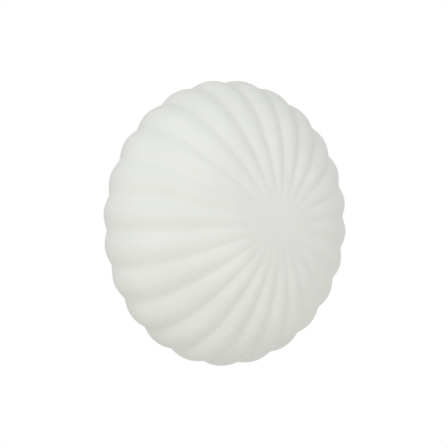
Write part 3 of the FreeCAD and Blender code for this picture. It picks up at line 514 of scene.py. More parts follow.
def sink_recess(shape, verts, middle, facing, reach, width, depth, arms):
    """Sink a slot (one arm) or a cross (two arms) into the top of a screw's head."""
    pieces = dict.fromkeys(verts)
    for vertex in verts:
        pieces.update(dict.fromkeys(vertex.link_edges))
        pieces.update(dict.fromkeys(vertex.link_faces))
    cut = list(pieces)
    for arm in arms:
        across = facing.cross(arm)
        for side in (-1, 1):
            cut = bmesh.ops.bisect_plane(
                shape,
                geom=cut,
                plane_co=middle + across * side * width / 2,
                plane_no=across,
            )["geom"]
    shape.normal_update()
    sunk = []
    for face in cut:
        if not isinstance(face, bmesh.types.BMFace) or face.normal.dot(facing) < RECESS_FACING:
            continue
        spoke = face.calc_center_median() - middle
        for arm in arms:
            if abs(spoke.dot(facing.cross(arm))) < width / 2 and abs(spoke.dot(arm)) < reach:
                sunk.append(face)
                break
    made = bmesh.ops.extrude_face_region(shape, geom=sunk)
    lowered = [item for item in made["geom"] if isinstance(item, bmesh.types.BMVert)]
    for vertex in lowered:
        spoke = vertex.co - middle
        along = facing * spoke.dot(facing)
        vertex.co = middle + along + (spoke - along) * RECESS_TAPER - facing * depth
    left = [face for face in sunk if face.is_valid]
    bmesh.ops.delete(shape, geom=left, context="FACES")
    bmesh.ops.remove_doubles(shape, verts=shape.verts, dist=WELD)


def add_screw(shape, foot, facing, head_radius, head, shank, length, arms, pitch=SMALL_PITCH):
    """A pan-head screw that rests on foot: recessed head towards facing, threaded shank behind."""
    line = dome(head_radius, head * HEAD_RIM_SHARE, head)
    line.insert(0, (head_radius, 0))
    line.insert(0, (0, 0))
    head_verts = turn_form(shape, line, foot, facing)
    reach = RECESS_REACH_SHARE * head_radius
    width = RECESS_WIDTH_SHARE * head_radius
    depth = RECESS_DEPTH_SHARE * head
    sink_recess(shape, head_verts, foot, facing, reach, width, depth, arms)
    core = shank - SMALL_THREAD_DEPTH
    tip = (core - SMALL_THREAD_DEPTH, length)
    turn_form(shape, [(0, 0), (core, 0), (core, length - pitch), tip, (0, length)], foot, -facing)
    wind_thread(shape, foot, -facing, shank, length - pitch, pitch, SMALL_THREAD_DEPTH)


# The glaze gives the eye a creamy white with small, clear highlights along the rounded edges.
glaze_finish = new_finish("glazed_steatite", GLAZE_WHITE, roughness=0.18, ior=1.52)
cloud_colour(glaze_finish, GLAZE_PATCH, GLAZE_SHADE, GLAZE_WHITE)
fine_relief(glaze_finish, GLAZE_RIPPLE, GLAZE_HEIGHT, strength=0.3)
# Spring bronze gives the eye a brownish orange glint deep in the holes.
bronze_finish = new_finish("spring_bronze", BRONZE_LIGHT, roughness=0.35, metallic=1.0)
cloud_colour(bronze_finish, BRONZE_PATCH, BRONZE_DARK, BRONZE_LIGHT)
fine_relief(bronze_finish, ROLL_SIZE, ROLL_HEIGHT, (1, ROLL_STRETCH, 1))

holder_screws = bmesh.new()
holder_nuts = bmesh.new()
for name, side in (("left", -1), ("right", 1)):
    holder = softened_copy(f"lampholder_{name}", HOLDER_EDGE, HOLDER_EDGE_STEPS)
    holder_piece = finished_piece(holder, f"steatite_holder_{name}", glaze_finish[0])
    stand_for(holder_piece, "base", "holder_ceramic", f"lampholder_{name}")
    dress(bronze_finish[0], f"holder_contacts_{name}")
    for end in (-1, 1):
        axis_foot = RIGHT * side * HOLDER_PLACE + UP * end * EAR_SCREW_PLACE
        add_screw(
            holder_screws,
            axis_foot + OUT * EAR_FACE,
            OUT,
            SMALL_HEAD_RADIUS,
            SMALL_HEAD,
            SMALL_SCREW_RADIUS,
            SMALL_SCREW_LENGTH,
            (RIGHT, UP),
        )
        nut_foot = axis_foot + OUT * (PAN_INSIDE - SMALL_NUT_HEIGHT)
        add_nut(holder_nuts, nut_foot, OUT, SMALL_NUT_FLATS, SMALL_NUT_HEIGHT, SMALL_NUT_BORE)
holder_screws_piece = finished_piece(holder_screws, "ear_screws", zinc)
stand_for(holder_screws_piece, "base", "zinc_steel", "holder_screws")
holder_nuts_piece = finished_piece(holder_nuts, "ear_nuts", zinc)
stand_for(holder_nuts_piece, "base", "zinc_steel", "holder_nuts")


# Terminal block: moulded in natural polyamide, which is creamy and faintly translucent, round
# three brass inserts. Slotted clamp screws hold the wires and two screws hold the block.

BLOCK_EDGE = 0.4 * MM
POLYAMIDE_LIGHT = "#E4E0D2"
POLYAMIDE_SHADE = "#DBD6C6"
POLYAMIDE_PATCH = 10 * MM
# The grain that a spark-eroded mould leaves is finer: it is drawn coarser, so that it shows.
MOULD_GRAIN = 0.5 * MM
MOULD_HEIGHT = 0.01 * MM
BRASS_LIGHT = "#D0B36A"
BRASS_DARK = "#AE8E4B"
BRASS_PATCH = 3 * MM
TURNING_MARK = 0.2 * MM
TURNING_STRETCH = 0.2
POLE_PITCH = 11 * MM
CLAMP_PLACE = 4 * MM
CLAMP_RADIUS = 1.35 * MM
CLAMP_TOP = 5.6 * MM
CLAMP_TIP = 8.25 * MM
CLAMP_CHAMFER = 0.2 * MM
CLAMP_SLOT_DEPTH = 0.7 * MM
BLOCK_DROP = 40 * MM
BLOCK_BACK = 4.8 * MM
BLOCK_HEAD_RADIUS = 2.5 * MM
BLOCK_HEAD = 1.6 * MM
BLOCK_SCREW_LENGTH = 14.8 * MM

# Natural polyamide gives the eye a waxy cream, slightly uneven where it is thick.
polyamide_finish = new_finish("natural_polyamide", POLYAMIDE_LIGHT, roughness=0.45, ior=1.53)
cloud_colour(polyamide_finish, POLYAMIDE_PATCH, POLYAMIDE_SHADE, POLYAMIDE_LIGHT)
fine_relief(polyamide_finish, MOULD_GRAIN, MOULD_HEIGHT)
# Turned brass gives the eye a warm yellow shine with fine marks round the tool's path.
brass_finish = new_finish("turned_brass", BRASS_LIGHT, roughness=0.3, metallic=1.0)
cloud_colour(brass_finish, BRASS_PATCH, BRASS_DARK, BRASS_LIGHT)
fine_relief(brass_finish, TURNING_MARK, ROLL_HEIGHT, (TURNING_STRETCH, 1, 1))

block = finished_piece(
    softened_copy("terminal_block", BLOCK_EDGE),
    "block_moulding",
    polyamide_finish[0],
)
stand_for(block, "base", "block_plastic", "terminal_block")
dress(brass_finish[0], "terminal_inserts")

clamps = bmesh.new()
for pole in (-1, 0, 1):
    for end in (-1, 1):
        top = RIGHT * pole * POLE_PITCH + OUT * CLAMP_TOP + UP * (end * CLAMP_PLACE - BLOCK_DROP)
        length = CLAMP_TIP - CLAMP_TOP
        line = [
            (0, 0),
            (RECESS_REACH_SHARE * CLAMP_RADIUS, 0),
            (CLAMP_RADIUS - CLAMP_CHAMFER, 0),
            (CLAMP_RADIUS, CLAMP_CHAMFER),
            (CLAMP_RADIUS, length - CLAMP_CHAMFER),
            (CLAMP_RADIUS - CLAMP_CHAMFER, length),
            (0, length),
        ]
        verts = turn_form(clamps, line, top, OUT)
        reach = CLAMP_RADIUS - CLAMP_CHAMFER
        width = RECESS_WIDTH_SHARE * CLAMP_RADIUS
        sink_recess(clamps, verts, top, -OUT, reach, width, CLAMP_SLOT_DEPTH, (RIGHT,))
stand_for(finished_piece(clamps, "clamp_screws", zinc), "base", "zinc_steel", "terminal_screws")

block_screws = bmesh.new()
for side in (-1, 1):
    add_screw(
        block_screws,
        RIGHT * side * POLE_PITCH / 2 + OUT * BLOCK_BACK - UP * BLOCK_DROP,
        -OUT,
        BLOCK_HEAD_RADIUS,
        BLOCK_HEAD,
        SMALL_SCREW_RADIUS,
        BLOCK_SCREW_LENGTH,
        (RIGHT, UP),
    )
block_screws_piece = finished_piece(block_screws, "block_screws", zinc)
stand_for(block_screws_piece, "base", "zinc_steel", "block_fixing_screws")


# Earth point: a brass screw through a tinned ring terminal, a toothed washer that bites through
# the pan's paint, and a nut in front.

EARTH_INSET_RADIUS = 67 * MM
EARTH_ACROSS = 30 * MM
EARTH_DOWN = math.sqrt(EARTH_INSET_RADIUS ** 2 - EARTH_ACROSS ** 2)
EARTH_WASHER_RADIUS = 4 * MM
EARTH_WASHER_BORE = 2 * MM
EARTH_WASHER_WALL = 0.8 * MM
WASHER_TEETH = 12
TOOTH_DEPTH = 0.6 * MM
TOOTH_CUT_SHARE = 0.9
EARTH_SEAT = 15.2 * MM
EARTH_HEAD_RADIUS = 3.6 * MM
EARTH_HEAD = 2.4 * MM
EARTH_SCREW_RADIUS = 1.95 * MM
EARTH_SCREW_LENGTH = 6.8 * MM
EARTH_NUT_FLATS = 7 * MM
EARTH_NUT_HEIGHT = 3.2 * MM
TAG_EDGE = 0.12 * MM
TIN_LIGHT = "#D2D3D2"
TIN_DARK = "#BDBFBF"


def pull_in(verts, foot, axis, steps, depth, low, high):
    """Pull every other column of a turned form inwards, between two heights along its axis."""
    side = axis.cross(RIGHT)
    for vertex in verts:
        height = (vertex.co - foot).dot(axis)
        spoke = vertex.co - foot - axis * height
        column = round(math.atan2(spoke.dot(side), spoke.dot(RIGHT)) / (2 * math.pi) * steps)
        if column % 2 and low <= height <= high:
            vertex.co -= spoke.normalized() * depth


# Tin gives the eye a white metal, smoother and paler than the zinc round it.
tin_finish = new_finish("tinned_copper", TIN_LIGHT, roughness=0.32, metallic=1.0)
cloud_colour(tin_finish, STEEL_PATCH, TIN_DARK, TIN_LIGHT)
fine_relief(tin_finish, ROLL_SIZE, ROLL_HEIGHT)

earth_foot = RIGHT * EARTH_ACROSS - UP * EARTH_DOWN
tooth_steps = 2 * WASHER_TEETH
earth_washer = bmesh.new()
washer_foot = earth_foot + OUT * (PAN_INSIDE - EARTH_WASHER_WALL)
washer_line = [
    (EARTH_WASHER_BORE, 0),
    (EARTH_WASHER_RADIUS - TOOTH_DEPTH, 0),
    (EARTH_WASHER_RADIUS, 0),
    (EARTH_WASHER_RADIUS, EARTH_WASHER_WALL),
    (EARTH_WASHER_RADIUS - TOOTH_DEPTH, EARTH_WASHER_WALL),
    (EARTH_WASHER_BORE, EARTH_WASHER_WALL),
]
washer_verts = turn_form(earth_washer, washer_line, washer_foot, OUT, tooth_steps, closed=True)
rim = [
    vertex
    for vertex in washer_verts
    if (vertex.co - washer_foot).cross(OUT).length > EARTH_WASHER_RADIUS - TOOTH_DEPTH / 2
]
tooth_cut = TOOTH_CUT_SHARE * TOOTH_DEPTH
pull_in(rim, washer_foot, OUT, tooth_steps, tooth_cut, 0, EARTH_WASHER_WALL)
earth_washer_piece = finished_piece(earth_washer, "toothed_washer", zinc)
stand_for(earth_washer_piece, "base", "zinc_steel", "earth_washer")

earth_screw = bmesh.new()
add_screw(
    earth_screw,
    earth_foot + OUT * EARTH_SEAT,
    -OUT,
    EARTH_HEAD_RADIUS,
    EARTH_HEAD,
    EARTH_SCREW_RADIUS,
    EARTH_SCREW_LENGTH,
    (RIGHT,),
    THREAD_PITCH,
)
earth_screw_piece = finished_piece(earth_screw, "slotted_earth_screw", brass_finish[0])
stand_for(earth_screw_piece, "base", "brass", "earth_screw")

earth_nut = bmesh.new()
earth_nut_foot = earth_foot + OUT * PAN_DEPTH
add_nut(earth_nut, earth_nut_foot, OUT, EARTH_NUT_FLATS, EARTH_NUT_HEIGHT, EARTH_WASHER_BORE)
stand_for(finished_piece(earth_nut, "earth_hex_nut", zinc), "base", "zinc_steel", "earth_nut")

tag = finished_piece(softened_copy("earth_tag", TAG_EDGE), "ring_terminal", tin_finish[0])
stand_for(tag, "base", "zinc_steel", "earth_tag")


# Wires: silicone-sleeved copper in the mains colours, brown, blue and green with a yellow
# stripe. The sleeves are extruded, so they shine softly and carry fine lengthwise drag lines.

BROWN_LIGHT = "#5E3A22"
BROWN_DARK = "#50301B"
BLUE_LIGHT = "#2C5FA8"
BLUE_DARK = "#234F92"
GREEN = "#3F8F3C"
YELLOW = "#E3CC2C"
SLEEVE_PATCH = 7 * MM
# Drag lines are drawn coarser than they are, so that they show.
DRAG_SIZE = 0.3 * MM
DRAG_HEIGHT = 0.01 * MM
SLEEVE_ROUGHNESS = 0.42
SLEEVE_IOR = 1.43
STRIPE_PITCH = 5 * MM
STRIPE_TILT = (0.8, 1.0, 0.5)
STRIPE_STOPS = (0.48, 0.52)
# A wave texture's diagonal bands repeat every tau / 10 at scale 1. The scale below makes that 1,
# and the places that the stripes read are in stripe pitches.
DIAGONAL_BANDS = 10

# Silicone gives the eye a soft, rubbery sheen and a colour that is a little uneven.
for colour, light, dark, pole in (
    ("brown", BROWN_LIGHT, BROWN_DARK, "live"),
    ("blue", BLUE_LIGHT, BLUE_DARK, "neutral"),
):
    sleeve_finish = new_finish(f"{colour}_silicone", light, SLEEVE_ROUGHNESS, ior=SLEEVE_IOR)
    cloud_colour(sleeve_finish, SLEEVE_PATCH, dark, light)
    fine_relief(sleeve_finish, DRAG_SIZE, DRAG_HEIGHT)
    dress(sleeve_finish[0], f"{pole}_wire_left", f"{pole}_wire_right")

striped_finish = new_finish("green_yellow_silicone", GREEN, SLEEVE_ROUGHNESS, ior=SLEEVE_IOR)
striped, striped_shader, striped_places = striped_finish
tilted = add_node(
    striped,
    "ShaderNodeMapping",
    {"Scale": tuple(share / STRIPE_PITCH for share in STRIPE_TILT)},
    {"Vector": striped_places},
)
bands = add_node(
    striped,
    "ShaderNodeTexWave",
    {"Scale": math.tau / DIAGONAL_BANDS, "Distortion": 0.0},
    {"Vector": tilted.outputs["Vector"]},
    wave_type="BANDS",
    bands_direction="DIAGONAL",
)
stripes = add_node(
    striped,
    "ShaderNodeValToRGB",
    links={"Fac": bands.outputs["Fac"]},
    stops=list(zip(STRIPE_STOPS, (GREEN, YELLOW))),
)
wire_up(striped, stripes.outputs["Color"], striped_shader.inputs["Base Color"])
fine_relief(striped_finish, DRAG_SIZE, DRAG_HEIGHT)
dress(striped, "earth_wire")


# Foam gasket: a die-cut ring of closed-cell silicone foam, stuck to the pan's flange. Its cut
# cells show as fine pits, each painted darker towards its middle as painted shade, and the glass
# presses its edges slightly round.

GASKET_INNER = 91 * MM
GASKET_OUTER = 99 * MM
GASKET_BACK = 1.2 * MM
GASKET_FRONT = 4.2 * MM
GASKET_ROUND = 0.7 * MM
FOAM_WHITE = "#DEDDD8"
# Painted shade: the darker colour painted into the middle of each foam pit.
FOAM_PIT_PAINTED_SHADE = "#CFCEC8"
CELL_SIZE = 0.7 * MM
CELL_DEPTH = 0.12 * MM
FINE_STEPS = 128

# The foam gives the eye a matt, pitted white without any highlight; its pits carry painted shade.
foam_finish = new_finish("silicone_foam", FOAM_WHITE, roughness=0.9, ior=1.4)
foam, foam_shader, foam_places = foam_finish
cells = add_node(
    foam,
    "ShaderNodeTexVoronoi",
    {"Scale": 1 / CELL_SIZE},
    {"Vector": foam_places},
)
# Painted shade: the colour darkens towards each cell's middle, just where the bump sinks its pit.
painted_pit_shade = add_node(
    foam,
    "ShaderNodeValToRGB",
    links={"Fac": cells.outputs["Distance"]},
    stops=[(0.0, FOAM_PIT_PAINTED_SHADE), (0.5, FOAM_WHITE)],
)
wire_up(foam, painted_pit_shade.outputs["Color"], foam_shader.inputs["Base Color"])
pits = add_node(
    foam,
    "ShaderNodeBump",
    {"Strength": 0.6, "Distance": CELL_DEPTH},
    {"Height": cells.outputs["Distance"]},
)
wire_up(foam, pits.outputs["Normal"], foam_shader.inputs["Normal"])

gasket_corners = [
    (GASKET_INNER, GASKET_BACK, GASKET_ROUND),
    (GASKET_OUTER, GASKET_BACK, GASKET_ROUND),
    (GASKET_OUTER, GASKET_FRONT, GASKET_ROUND),
    (GASKET_INNER, GASKET_FRONT, GASKET_ROUND),
]
gasket = bmesh.new()
gasket_line = rounded(gasket_corners, closed=True)
turn_form(gasket, gasket_line, Vector((0, 0, 0)), OUT, FINE_STEPS, closed=True)
stand_for(finished_piece(gasket, "foam_ring", foam), "base", "gasket_foam", "shade_gasket")


# Pan washers and cap nuts: nickel-plated steel washers, and domed brass nuts, nickel-plated over
# a straight knurl that fingers can turn to draw the pan to the wall.

WASHER_BORE = 2.3 * MM
WASHER_RADIUS = 6 * MM
WASHER_WALL = 0.8 * MM
WASHER_ROUND = 0.25 * MM
CAP_RADIUS = 6 * MM
CAP_HEIGHT = 12 * MM
CAP_DOME_START = 7.6 * MM
CAP_FOOT_ROUND = 0.4 * MM
CAP_BORE = 2.05 * MM
CAP_GRIP = 8.3 * MM
KNURL_STEPS = 72
KNURL_DEPTH = 0.35 * MM
KNURL_LOW = 1.1 * MM
KNURL_HIGH = 7.2 * MM
KNURL_CREASE = math.radians(20)
NICKEL_LIGHT = "#D6D3CC"
NICKEL_DARK = "#C6C2BA"
NICKEL_PATCH = 6 * MM

# Bright nickel gives the eye a warm, nearly clear mirror with the knurl's sparkle.
nickel_finish = new_finish("bright_nickel_plate", NICKEL_LIGHT, roughness=0.16, metallic=1.0)
cloud_colour(nickel_finish, NICKEL_PATCH, NICKEL_DARK, NICKEL_LIGHT)
fine_relief(nickel_finish, ROLL_SIZE, ROLL_HEIGHT, strength=0.2)

pan_washers = bmesh.new()
caps = bmesh.new()
for side in (-1, 1):
    foot = RIGHT * side * STUD_PLACE + OUT * PAN_DEPTH
    washer_corners = [
        (WASHER_BORE, 0, 0),
        (WASHER_RADIUS, 0, WASHER_ROUND),
        (WASHER_RADIUS, WASHER_WALL, WASHER_ROUND),
        (WASHER_BORE, WASHER_WALL, WASHER_ROUND),
    ]
    washer_line = rounded(washer_corners, closed=True)
    turn_form(pan_washers, washer_line, foot, OUT, NUT_STEPS, closed=True)
    cap_foot = foot + OUT * WASHER_WALL
    cap_line = rounded(
        [
            (0, CAP_GRIP, 0),
            (CAP_BORE, CAP_GRIP, 0),
            (CAP_BORE, 0, 0),
            (CAP_RADIUS, 0, CAP_FOOT_ROUND),
            (CAP_RADIUS, KNURL_LOW, 0),
        ]
    )
    cap_line += [(CAP_RADIUS, KNURL_LOW + KNURL_DEPTH / 2), (CAP_RADIUS, KNURL_HIGH)]
    cap_line += dome(CAP_RADIUS, CAP_DOME_START, CAP_HEIGHT)
    cap_verts = turn_form(caps, cap_line, cap_foot, OUT, KNURL_STEPS)
    skin = [
        vertex
        for vertex in cap_verts
        if (vertex.co - cap_foot).cross(OUT).length > CAP_RADIUS - WELD
    ]
    pull_in(skin, cap_foot, OUT, KNURL_STEPS, KNURL_DEPTH, KNURL_LOW + WELD, KNURL_HIGH + WELD)
pan_washers_piece = finished_piece(pan_washers, "flat_washers", nickel_finish[0])
stand_for(pan_washers_piece, "base", "nickel", "pan_washers")
caps_piece = finished_piece(caps, "knurled_caps", nickel_finish[0], KNURL_CREASE)
stand_for(caps_piece, "base", "nickel", "cap_nuts")


# Light bulbs: LED capsules that plug in on two nickel wire pins. A glossy moulded base holds a
# white board with yellow phosphor chips, under a milky polycarbonate cap that scatters light.

BULB_SEAT = 35.3 * MM
BULB_RADIUS = 8 * MM
BASE_HEIGHT = 14 * MM
BASE_COLLAR = 11 * MM
BASE_FOOT_RADIUS = 6.8 * MM
BASE_TAPER = 2.75 * MM
BASE_ROUND = 0.8 * MM
SPIGOT_RADIUS = 6.9 * MM
GRIP_RINGS = 4
GRIP_PITCH = 1.4 * MM
GRIP_START = 4.2 * MM
GRIP_DEPTH = 0.3 * MM
# One groove between two rings: shares of the pitch along it and of the depth into it.
GRIP_GROOVE_SHARES = [(0.35, 0), (0.5, 1), (0.75, 1), (0.9, 0)]
GRIP_CREASE = math.radians(30)
COVER_HEIGHT = 34 * MM
COVER_INNER = 7 * MM
COVER_ROWS = 10
COVER_STEPS = 48
BASE_WHITE = "#E9E9E6"
BASE_SHADE = "#E2E2DE"
MILK_WHITE = "#F1F1EC"
MILK_SHADE = "#EAEAE4"
MILK_CLEARNESS = 0.35
BOARD_WHITE = "#DCDDD9"
BOARD_SHADE = "#D0D2CD"
PHOSPHOR_LIGHT = "#EBC94A"
PHOSPHOR_DARK = "#DDB136"
# Phosphor grains are a tenth of this: they are drawn coarser, so that they show.
PHOSPHOR_GRAIN = 0.3 * MM
PIN_LIGHT = "#C4C2BD"
PIN_DARK = "#AFADA8"

# Glossy polyester gives the eye a cool white with clear highlights on the rings.
pbt_finish = new_finish("gloss_pbt", BASE_WHITE, roughness=0.25, ior=1.55)
cloud_colour(pbt_finish, POLYAMIDE_PATCH, BASE_SHADE, BASE_WHITE)
fine_relief(pbt_finish, MOULD_GRAIN, MOULD_HEIGHT, strength=0.2)
# Milky polycarbonate gives the eye a deep, soft white that lets a little of its inside through.
milky_finish = new_finish("milky_polycarbonate", MILK_WHITE, roughness=0.4, ior=1.58)
milky_finish[1].inputs["Transmission Weight"].default_value = MILK_CLEARNESS
cloud_colour(milky_finish, POLYAMIDE_PATCH, MILK_SHADE, MILK_WHITE)
fine_relief(milky_finish, MOULD_GRAIN, MOULD_HEIGHT, strength=0.3)
# The solder mask gives the eye a greyish enamel white.
board_finish = new_finish("white_solder_mask", BOARD_WHITE, roughness=0.35)
cloud_colour(board_finish, SLEEVE_PATCH, BOARD_SHADE, BOARD_WHITE)
fine_relief(board_finish, MOULD_GRAIN, MOULD_HEIGHT)
# Phosphor in clear silicone gives the eye an egg-yolk yellow with grains in it.
phosphor_finish = new_finish("yellow_phosphor", PHOSPHOR_LIGHT, roughness=0.3, ior=1.41)
cloud_colour(phosphor_finish, PHOSPHOR_GRAIN, PHOSPHOR_DARK, PHOSPHOR_LIGHT)
fine_relief(phosphor_finish, PHOSPHOR_GRAIN, MOULD_HEIGHT)
# Drawn nickel wire gives the eye a grey shine with lines along the wire.
pin_finish = new_finish("drawn_nickel_wire", PIN_LIGHT, roughness=0.3, metallic=1.0)
cloud_colour(pin_finish, BRONZE_PATCH, PIN_DARK, PIN_LIGHT)
fine_relief(pin_finish, ROLL_SIZE, ROLL_HEIGHT, (1, ROLL_STRETCH, 1))

for name, side in (("left", -1), ("right", 1)):
    body = f"bulb_{name}"
    foot = RIGHT * side * HOLDER_PLACE + OUT * BULB_SEAT
    base_line = rounded(
        [
            (0, 0, 0),
            (BASE_FOOT_RADIUS, 0, BASE_ROUND),
            (BULB_RADIUS, BASE_TAPER, BASE_ROUND),
            (BULB_RADIUS, GRIP_START, 0),
        ]
    )
    for ring in range(GRIP_RINGS):
        low = GRIP_START + ring * GRIP_PITCH
        for along, into in GRIP_GROOVE_SHARES:
            base_line.append((BULB_RADIUS - into * GRIP_DEPTH, low + along * GRIP_PITCH))
    base_line += [
        (BULB_RADIUS, BASE_COLLAR),
        (SPIGOT_RADIUS, BASE_COLLAR),
        (SPIGOT_RADIUS, BASE_HEIGHT),
        (0, BASE_HEIGHT),
    ]
    base = bmesh.new()
    turn_form(base, base_line, foot, OUT, COVER_STEPS)
    base_piece = finished_piece(base, f"moulded_base_{name}", pbt_finish[0], GRIP_CREASE)
    stand_for(base_piece, body, "bulb_plastic", f"bulb_base_{name}")

    cover_foot = foot + OUT * BASE_COLLAR
    straight = COVER_HEIGHT - BULB_RADIUS
    outer_line = [(BULB_RADIUS, 0)]
    inner_line = [(COVER_INNER, 0)]
    for row in range(COVER_ROWS + 1):
        turn = math.pi / 2 * row / COVER_ROWS
        reach, rise = math.cos(turn), math.sin(turn)
        outer_line.append((BULB_RADIUS * reach, straight + BULB_RADIUS * rise))
        inner_line.append((COVER_INNER * reach, straight + COVER_INNER * rise))
    cover = bmesh.new()
    turn_form(cover, outer_line[::-1] + inner_line, cover_foot, OUT, COVER_STEPS)
    cover_piece = finished_piece(cover, f"milky_cap_{name}", milky_finish[0])
    stand_for(cover_piece, body, "bulb_cover_plastic", f"bulb_cover_{name}")

    dress(board_finish[0], f"led_board_{name}")
    dress(phosphor_finish[0], f"led_chips_{name}")
    dress(pin_finish[0], f"bulb_pins_{name}")


# Glass shade: opal glass, milk-white right through, blown into a ribbed iron mould and then
# etched in acid to a satin skin, so its sheen is broad and dull. The ribs are soft waves that run
# from a small plain cap out over the rim. Its ground lip snaps over the three catches.

SHADE_RADIUS = 150 * MM
RIB_HEIGHT = 3.6 * MM
DOME_HEIGHT = 82 * MM
BACK_DEPTH = 48 * MM
LIP_RADIUS = 92 * MM
GLASS_WALL = 4 * MM
WIDEST_FRONT = 52.5 * MM
# A rib's valleys are rounded by this share of its bow. Ribs start outside the cap, are in full
# strength at a further share of the radius, and then grow with this power of the radius. The
# mould's waves reach the inside of the glass at half their height.
VALLEY_SOFTNESS = 0.3
CAP_SHARE = 0.1
FULL_RIB_SHARE = 0.55
RIB_GROWTH = 0.7
INNER_RIB_SHARE = 0.5
RIB_COUNT = 24
RIB_PHASE = math.radians(2.45)
COLUMNS_PER_RIB = 16
FRONT_ROWS = 52
BACK_ROWS = 26
LIP_ROWS = 8
OPAL_LIGHT = "#E8EAE5"
OPAL_SHADE = "#E4E6E1"
OPAL_CLOUD = 60 * MM
# The etched skin scatters its reflections, which leaves half of polished glass's.
OPAL_SHEEN = 0.25
# Etching bites grains of a few hundredths: they are drawn coarser, so that they show close up.
ETCH_GRAIN = 0.5 * MM
ETCH_HEIGHT = 0.01 * MM
ETCH_STRENGTH = 0.15


def glass_line(radius, height, depth):
    """The glass's section on one side: (radius, distance in front of the widest circle)."""
    line = []
    for row in range(FRONT_ROWS):
        turn = math.pi / 2 * row / FRONT_ROWS
        line.append((radius * math.sin(turn), height * math.cos(turn)))
    for row in range(BACK_ROWS + 1):
        turn = math.pi / 2 * row / BACK_ROWS
        line.append((LIP_RADIUS + (radius - LIP_RADIUS) * math.cos(turn), -depth * math.sin(turn)))
    return line


def smooth_step(value, low, high):
    share = min(max((value - low) / (high - low), 0.0), 1.0)
    return share * share * (3 - 2 * share)


def rib_rise(share):
    """Height of a rib across its width, 0 in its valleys and 1 on its crest."""
    bow = math.hypot(math.sin(math.pi * share), VALLEY_SOFTNESS)
    return (bow - VALLEY_SOFTNESS) / (math.hypot(1, VALLEY_SOFTNESS) - VALLEY_SOFTNESS)


outer_radius = SHADE_RADIUS - RIB_HEIGHT
inner_radius = outer_radius - GLASS_WALL
outside = glass_line(outer_radius, DOME_HEIGHT, BACK_DEPTH)
inside = glass_line(inner_radius, DOME_HEIGHT - GLASS_WALL, BACK_DEPTH - GLASS_WALL)
lip = []
for row in range(1, LIP_ROWS):
    turn = math.pi * row / LIP_ROWS
    reach = LIP_RADIUS - GLASS_WALL / 2 * math.sin(turn)
    lip.append((reach, -BACK_DEPTH + GLASS_WALL / 2 * (1 - math.cos(turn))))

glass = bmesh.new()
widest = OUT * WIDEST_FRONT
turn_form(glass, outside + lip + inside[::-1], widest, OUT, COLUMNS_PER_RIB, parts=RIB_COUNT)
glass.normal_update()
for vertex in glass.verts:
    spoke = vertex.co - widest
    reach = math.hypot(spoke.x, spoke.z)
    if reach < CAP_SHARE * inner_radius:
        continue
    outer_side = vertex.normal.dot(spoke) > 0
    radius = outer_radius if outer_side else inner_radius
    share = reach / radius
    fade = share ** RIB_GROWTH * smooth_step(share, CAP_SHARE, FULL_RIB_SHARE)
    if spoke.dot(OUT) < 0:
        fade *= smooth_step(reach, LIP_RADIUS, radius)
    across = ((math.atan2(spoke.z, spoke.x) - RIB_PHASE) / (2 * math.pi) * RIB_COUNT) % 1
    rise = RIB_HEIGHT * fade * rib_rise(across)
    vertex.co += vertex.normal * (rise if outer_side else -INNER_RIB_SHARE * rise)

# Etched opal glass gives the eye an even, faintly greenish milk white with hardly a highlight.
opal_finish = new_finish("etched_opal_glass", OPAL_LIGHT, roughness=0.7)
opal_finish[1].inputs["Specular IOR Level"].default_value = OPAL_SHEEN
cloud_colour(opal_finish, OPAL_CLOUD, OPAL_SHADE, OPAL_LIGHT)
fine_relief(opal_finish, ETCH_GRAIN, ETCH_HEIGHT, strength=ETCH_STRENGTH)
shade = finished_piece(glass, "opal_shade", opal_finish[0], crease=math.pi)
stand_for(shade, "shade", "opal_glass", "glass_shade")


# Floor, light and camera: a pale, warm studio floor far below the lamp, a soft even sky, a strong
# soft box at the left, a weaker one above it and a third low at the right to fill in, and the
# photograph's viewpoint, nearly level with the lamp.

EYE_AZIMUTH = math.radians(-39.4)
EYE_ELEVATION = math.radians(1.12)
EYE_DISTANCE = 1.691
EYE_LENS_MM = 129.2
SENSOR_MM = 36.0
PICTURE_PIXELS = 448
LAMP_MIDDLE_PIXEL = (227.65, 222.5)
SKY_STRENGTH = 0.624
BOX_SIZE = 1.4
BOX_REACH = 2.2
# Each soft box's name, watts, and the azimuth and elevation of its place in degrees.
SOFT_BOXES = [
    ("key_box", 12.9, -59.4, 20),
    ("top_box", 4.5, -29.4, 35),
    ("side_box", 4.8, 45.6, -10),
]
FLOOR_DROP = 0.9
FLOOR_SIZE = 5.0
STUDIO_WHITE = "#FFFFFF"
FLOOR_PAINT = "#F5F3EF"
FLOOR_LIFT = 0.4


def direction(azimuth, elevation):
    """Unit vector from the lamp: azimuth 0 is straight out of the wall, positive to the right."""
    level = math.cos(elevation)
    return Vector((math.sin(azimuth) * level, -math.cos(azimuth) * level, math.sin(elevation)))


def point_at_lamp(data, name, towards, reach):
    """Put a lamp or the camera a reach away from the wall lamp's middle, looking at it."""
    item = bpy.data.objects.new(name, data)
    item.location = widest + towards * reach
    item.rotation_euler = towards.to_track_quat("Z", "Y").to_euler()
    bpy.context.scene.collection.objects.link(item)
    return item


def background_rays(owner):
    """1 for a ray that shows the background: from the camera, mirrored or through glass."""
    ray = add_node(owner, "ShaderNodeLightPath")
    seen = ray.outputs["Is Camera Ray"]
    for kind in ("Is Glossy Ray", "Is Transmission Ray"):
        seen = add_node(
            owner,
            "ShaderNodeMath",
            links={0: seen, 1: ray.outputs[kind]},
            operation="MAXIMUM",
        ).outputs[0]
    return seen


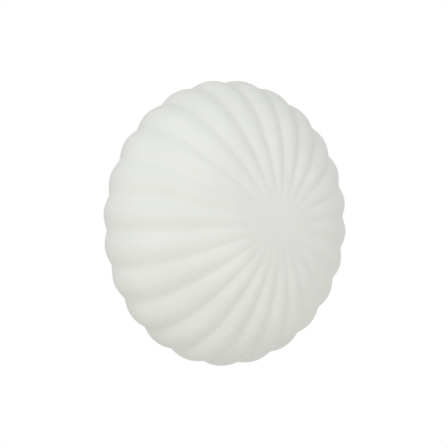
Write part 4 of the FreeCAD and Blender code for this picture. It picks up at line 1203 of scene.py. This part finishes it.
eye_data = bpy.data.cameras.new("camera")
eye_data.sensor_width = SENSOR_MM
eye_data.lens = EYE_LENS_MM
picture_middle = (PICTURE_PIXELS - 1) / 2
eye_data.shift_x = (picture_middle - LAMP_MIDDLE_PIXEL[0]) / PICTURE_PIXELS
eye_data.shift_y = (LAMP_MIDDLE_PIXEL[1] - picture_middle) / PICTURE_PIXELS
eye = point_at_lamp(eye_data, "camera", direction(EYE_AZIMUTH, EYE_ELEVATION), EYE_DISTANCE)
bpy.context.scene.camera = eye

for name, power, azimuth, elevation in SOFT_BOXES:
    box = bpy.data.lights.new(name, "AREA")
    box.shape = "DISK"
    box.size = BOX_SIZE
    box.energy = power
    towards = direction(math.radians(azimuth), math.radians(elevation))
    point_at_lamp(box, name, towards, BOX_REACH)

world = bpy.data.worlds.new("studio")
world.use_nodes = True
bpy.context.scene.world = world
sky = world.node_tree.nodes["Background"]
sky.inputs["Strength"].default_value = SKY_STRENGTH
sky.inputs["Color"].default_value = linear(STUDIO_WHITE)
backdrop = add_node(world, "ShaderNodeBackground", {"Strength": 1.0})
backdrop.inputs["Color"].default_value = linear(STUDIO_WHITE)
chosen = add_node(
    world,
    "ShaderNodeMixShader",
    links={0: background_rays(world), 1: sky.outputs[0], 2: backdrop.outputs[0]},
)
wire_up(world, chosen.outputs[0], world.node_tree.nodes["World Output"].inputs["Surface"])

floor_sheet = bmesh.new()
bmesh.ops.create_grid(floor_sheet, x_segments=1, y_segments=1, size=FLOOR_SIZE / 2)
bmesh.ops.translate(floor_sheet, verts=floor_sheet.verts, vec=(0, 0, -FLOOR_DROP))
# Matt floor paint gives the eye a plain pale ground. Where the background shows, it is lifted to
# the same white, so that the sheet's edge doesn't show and a shadow on it does. The lift lights
# nothing.
floor_finish = new_finish("matt_floor_paint", FLOOR_PAINT, roughness=0.8)
lift = add_node(
    floor_finish[0],
    "ShaderNodeMath",
    {1: FLOOR_LIFT},
    {0: background_rays(floor_finish[0])},
    operation="MULTIPLY",
)
floor_finish[1].inputs["Emission Color"].default_value = linear(STUDIO_WHITE)
wire_up(floor_finish[0], lift.outputs[0], floor_finish[1].inputs["Emission Strength"])
finished_piece(floor_sheet, "floor", floor_finish[0])

bpy.context.scene.view_settings.view_transform = "Standard"
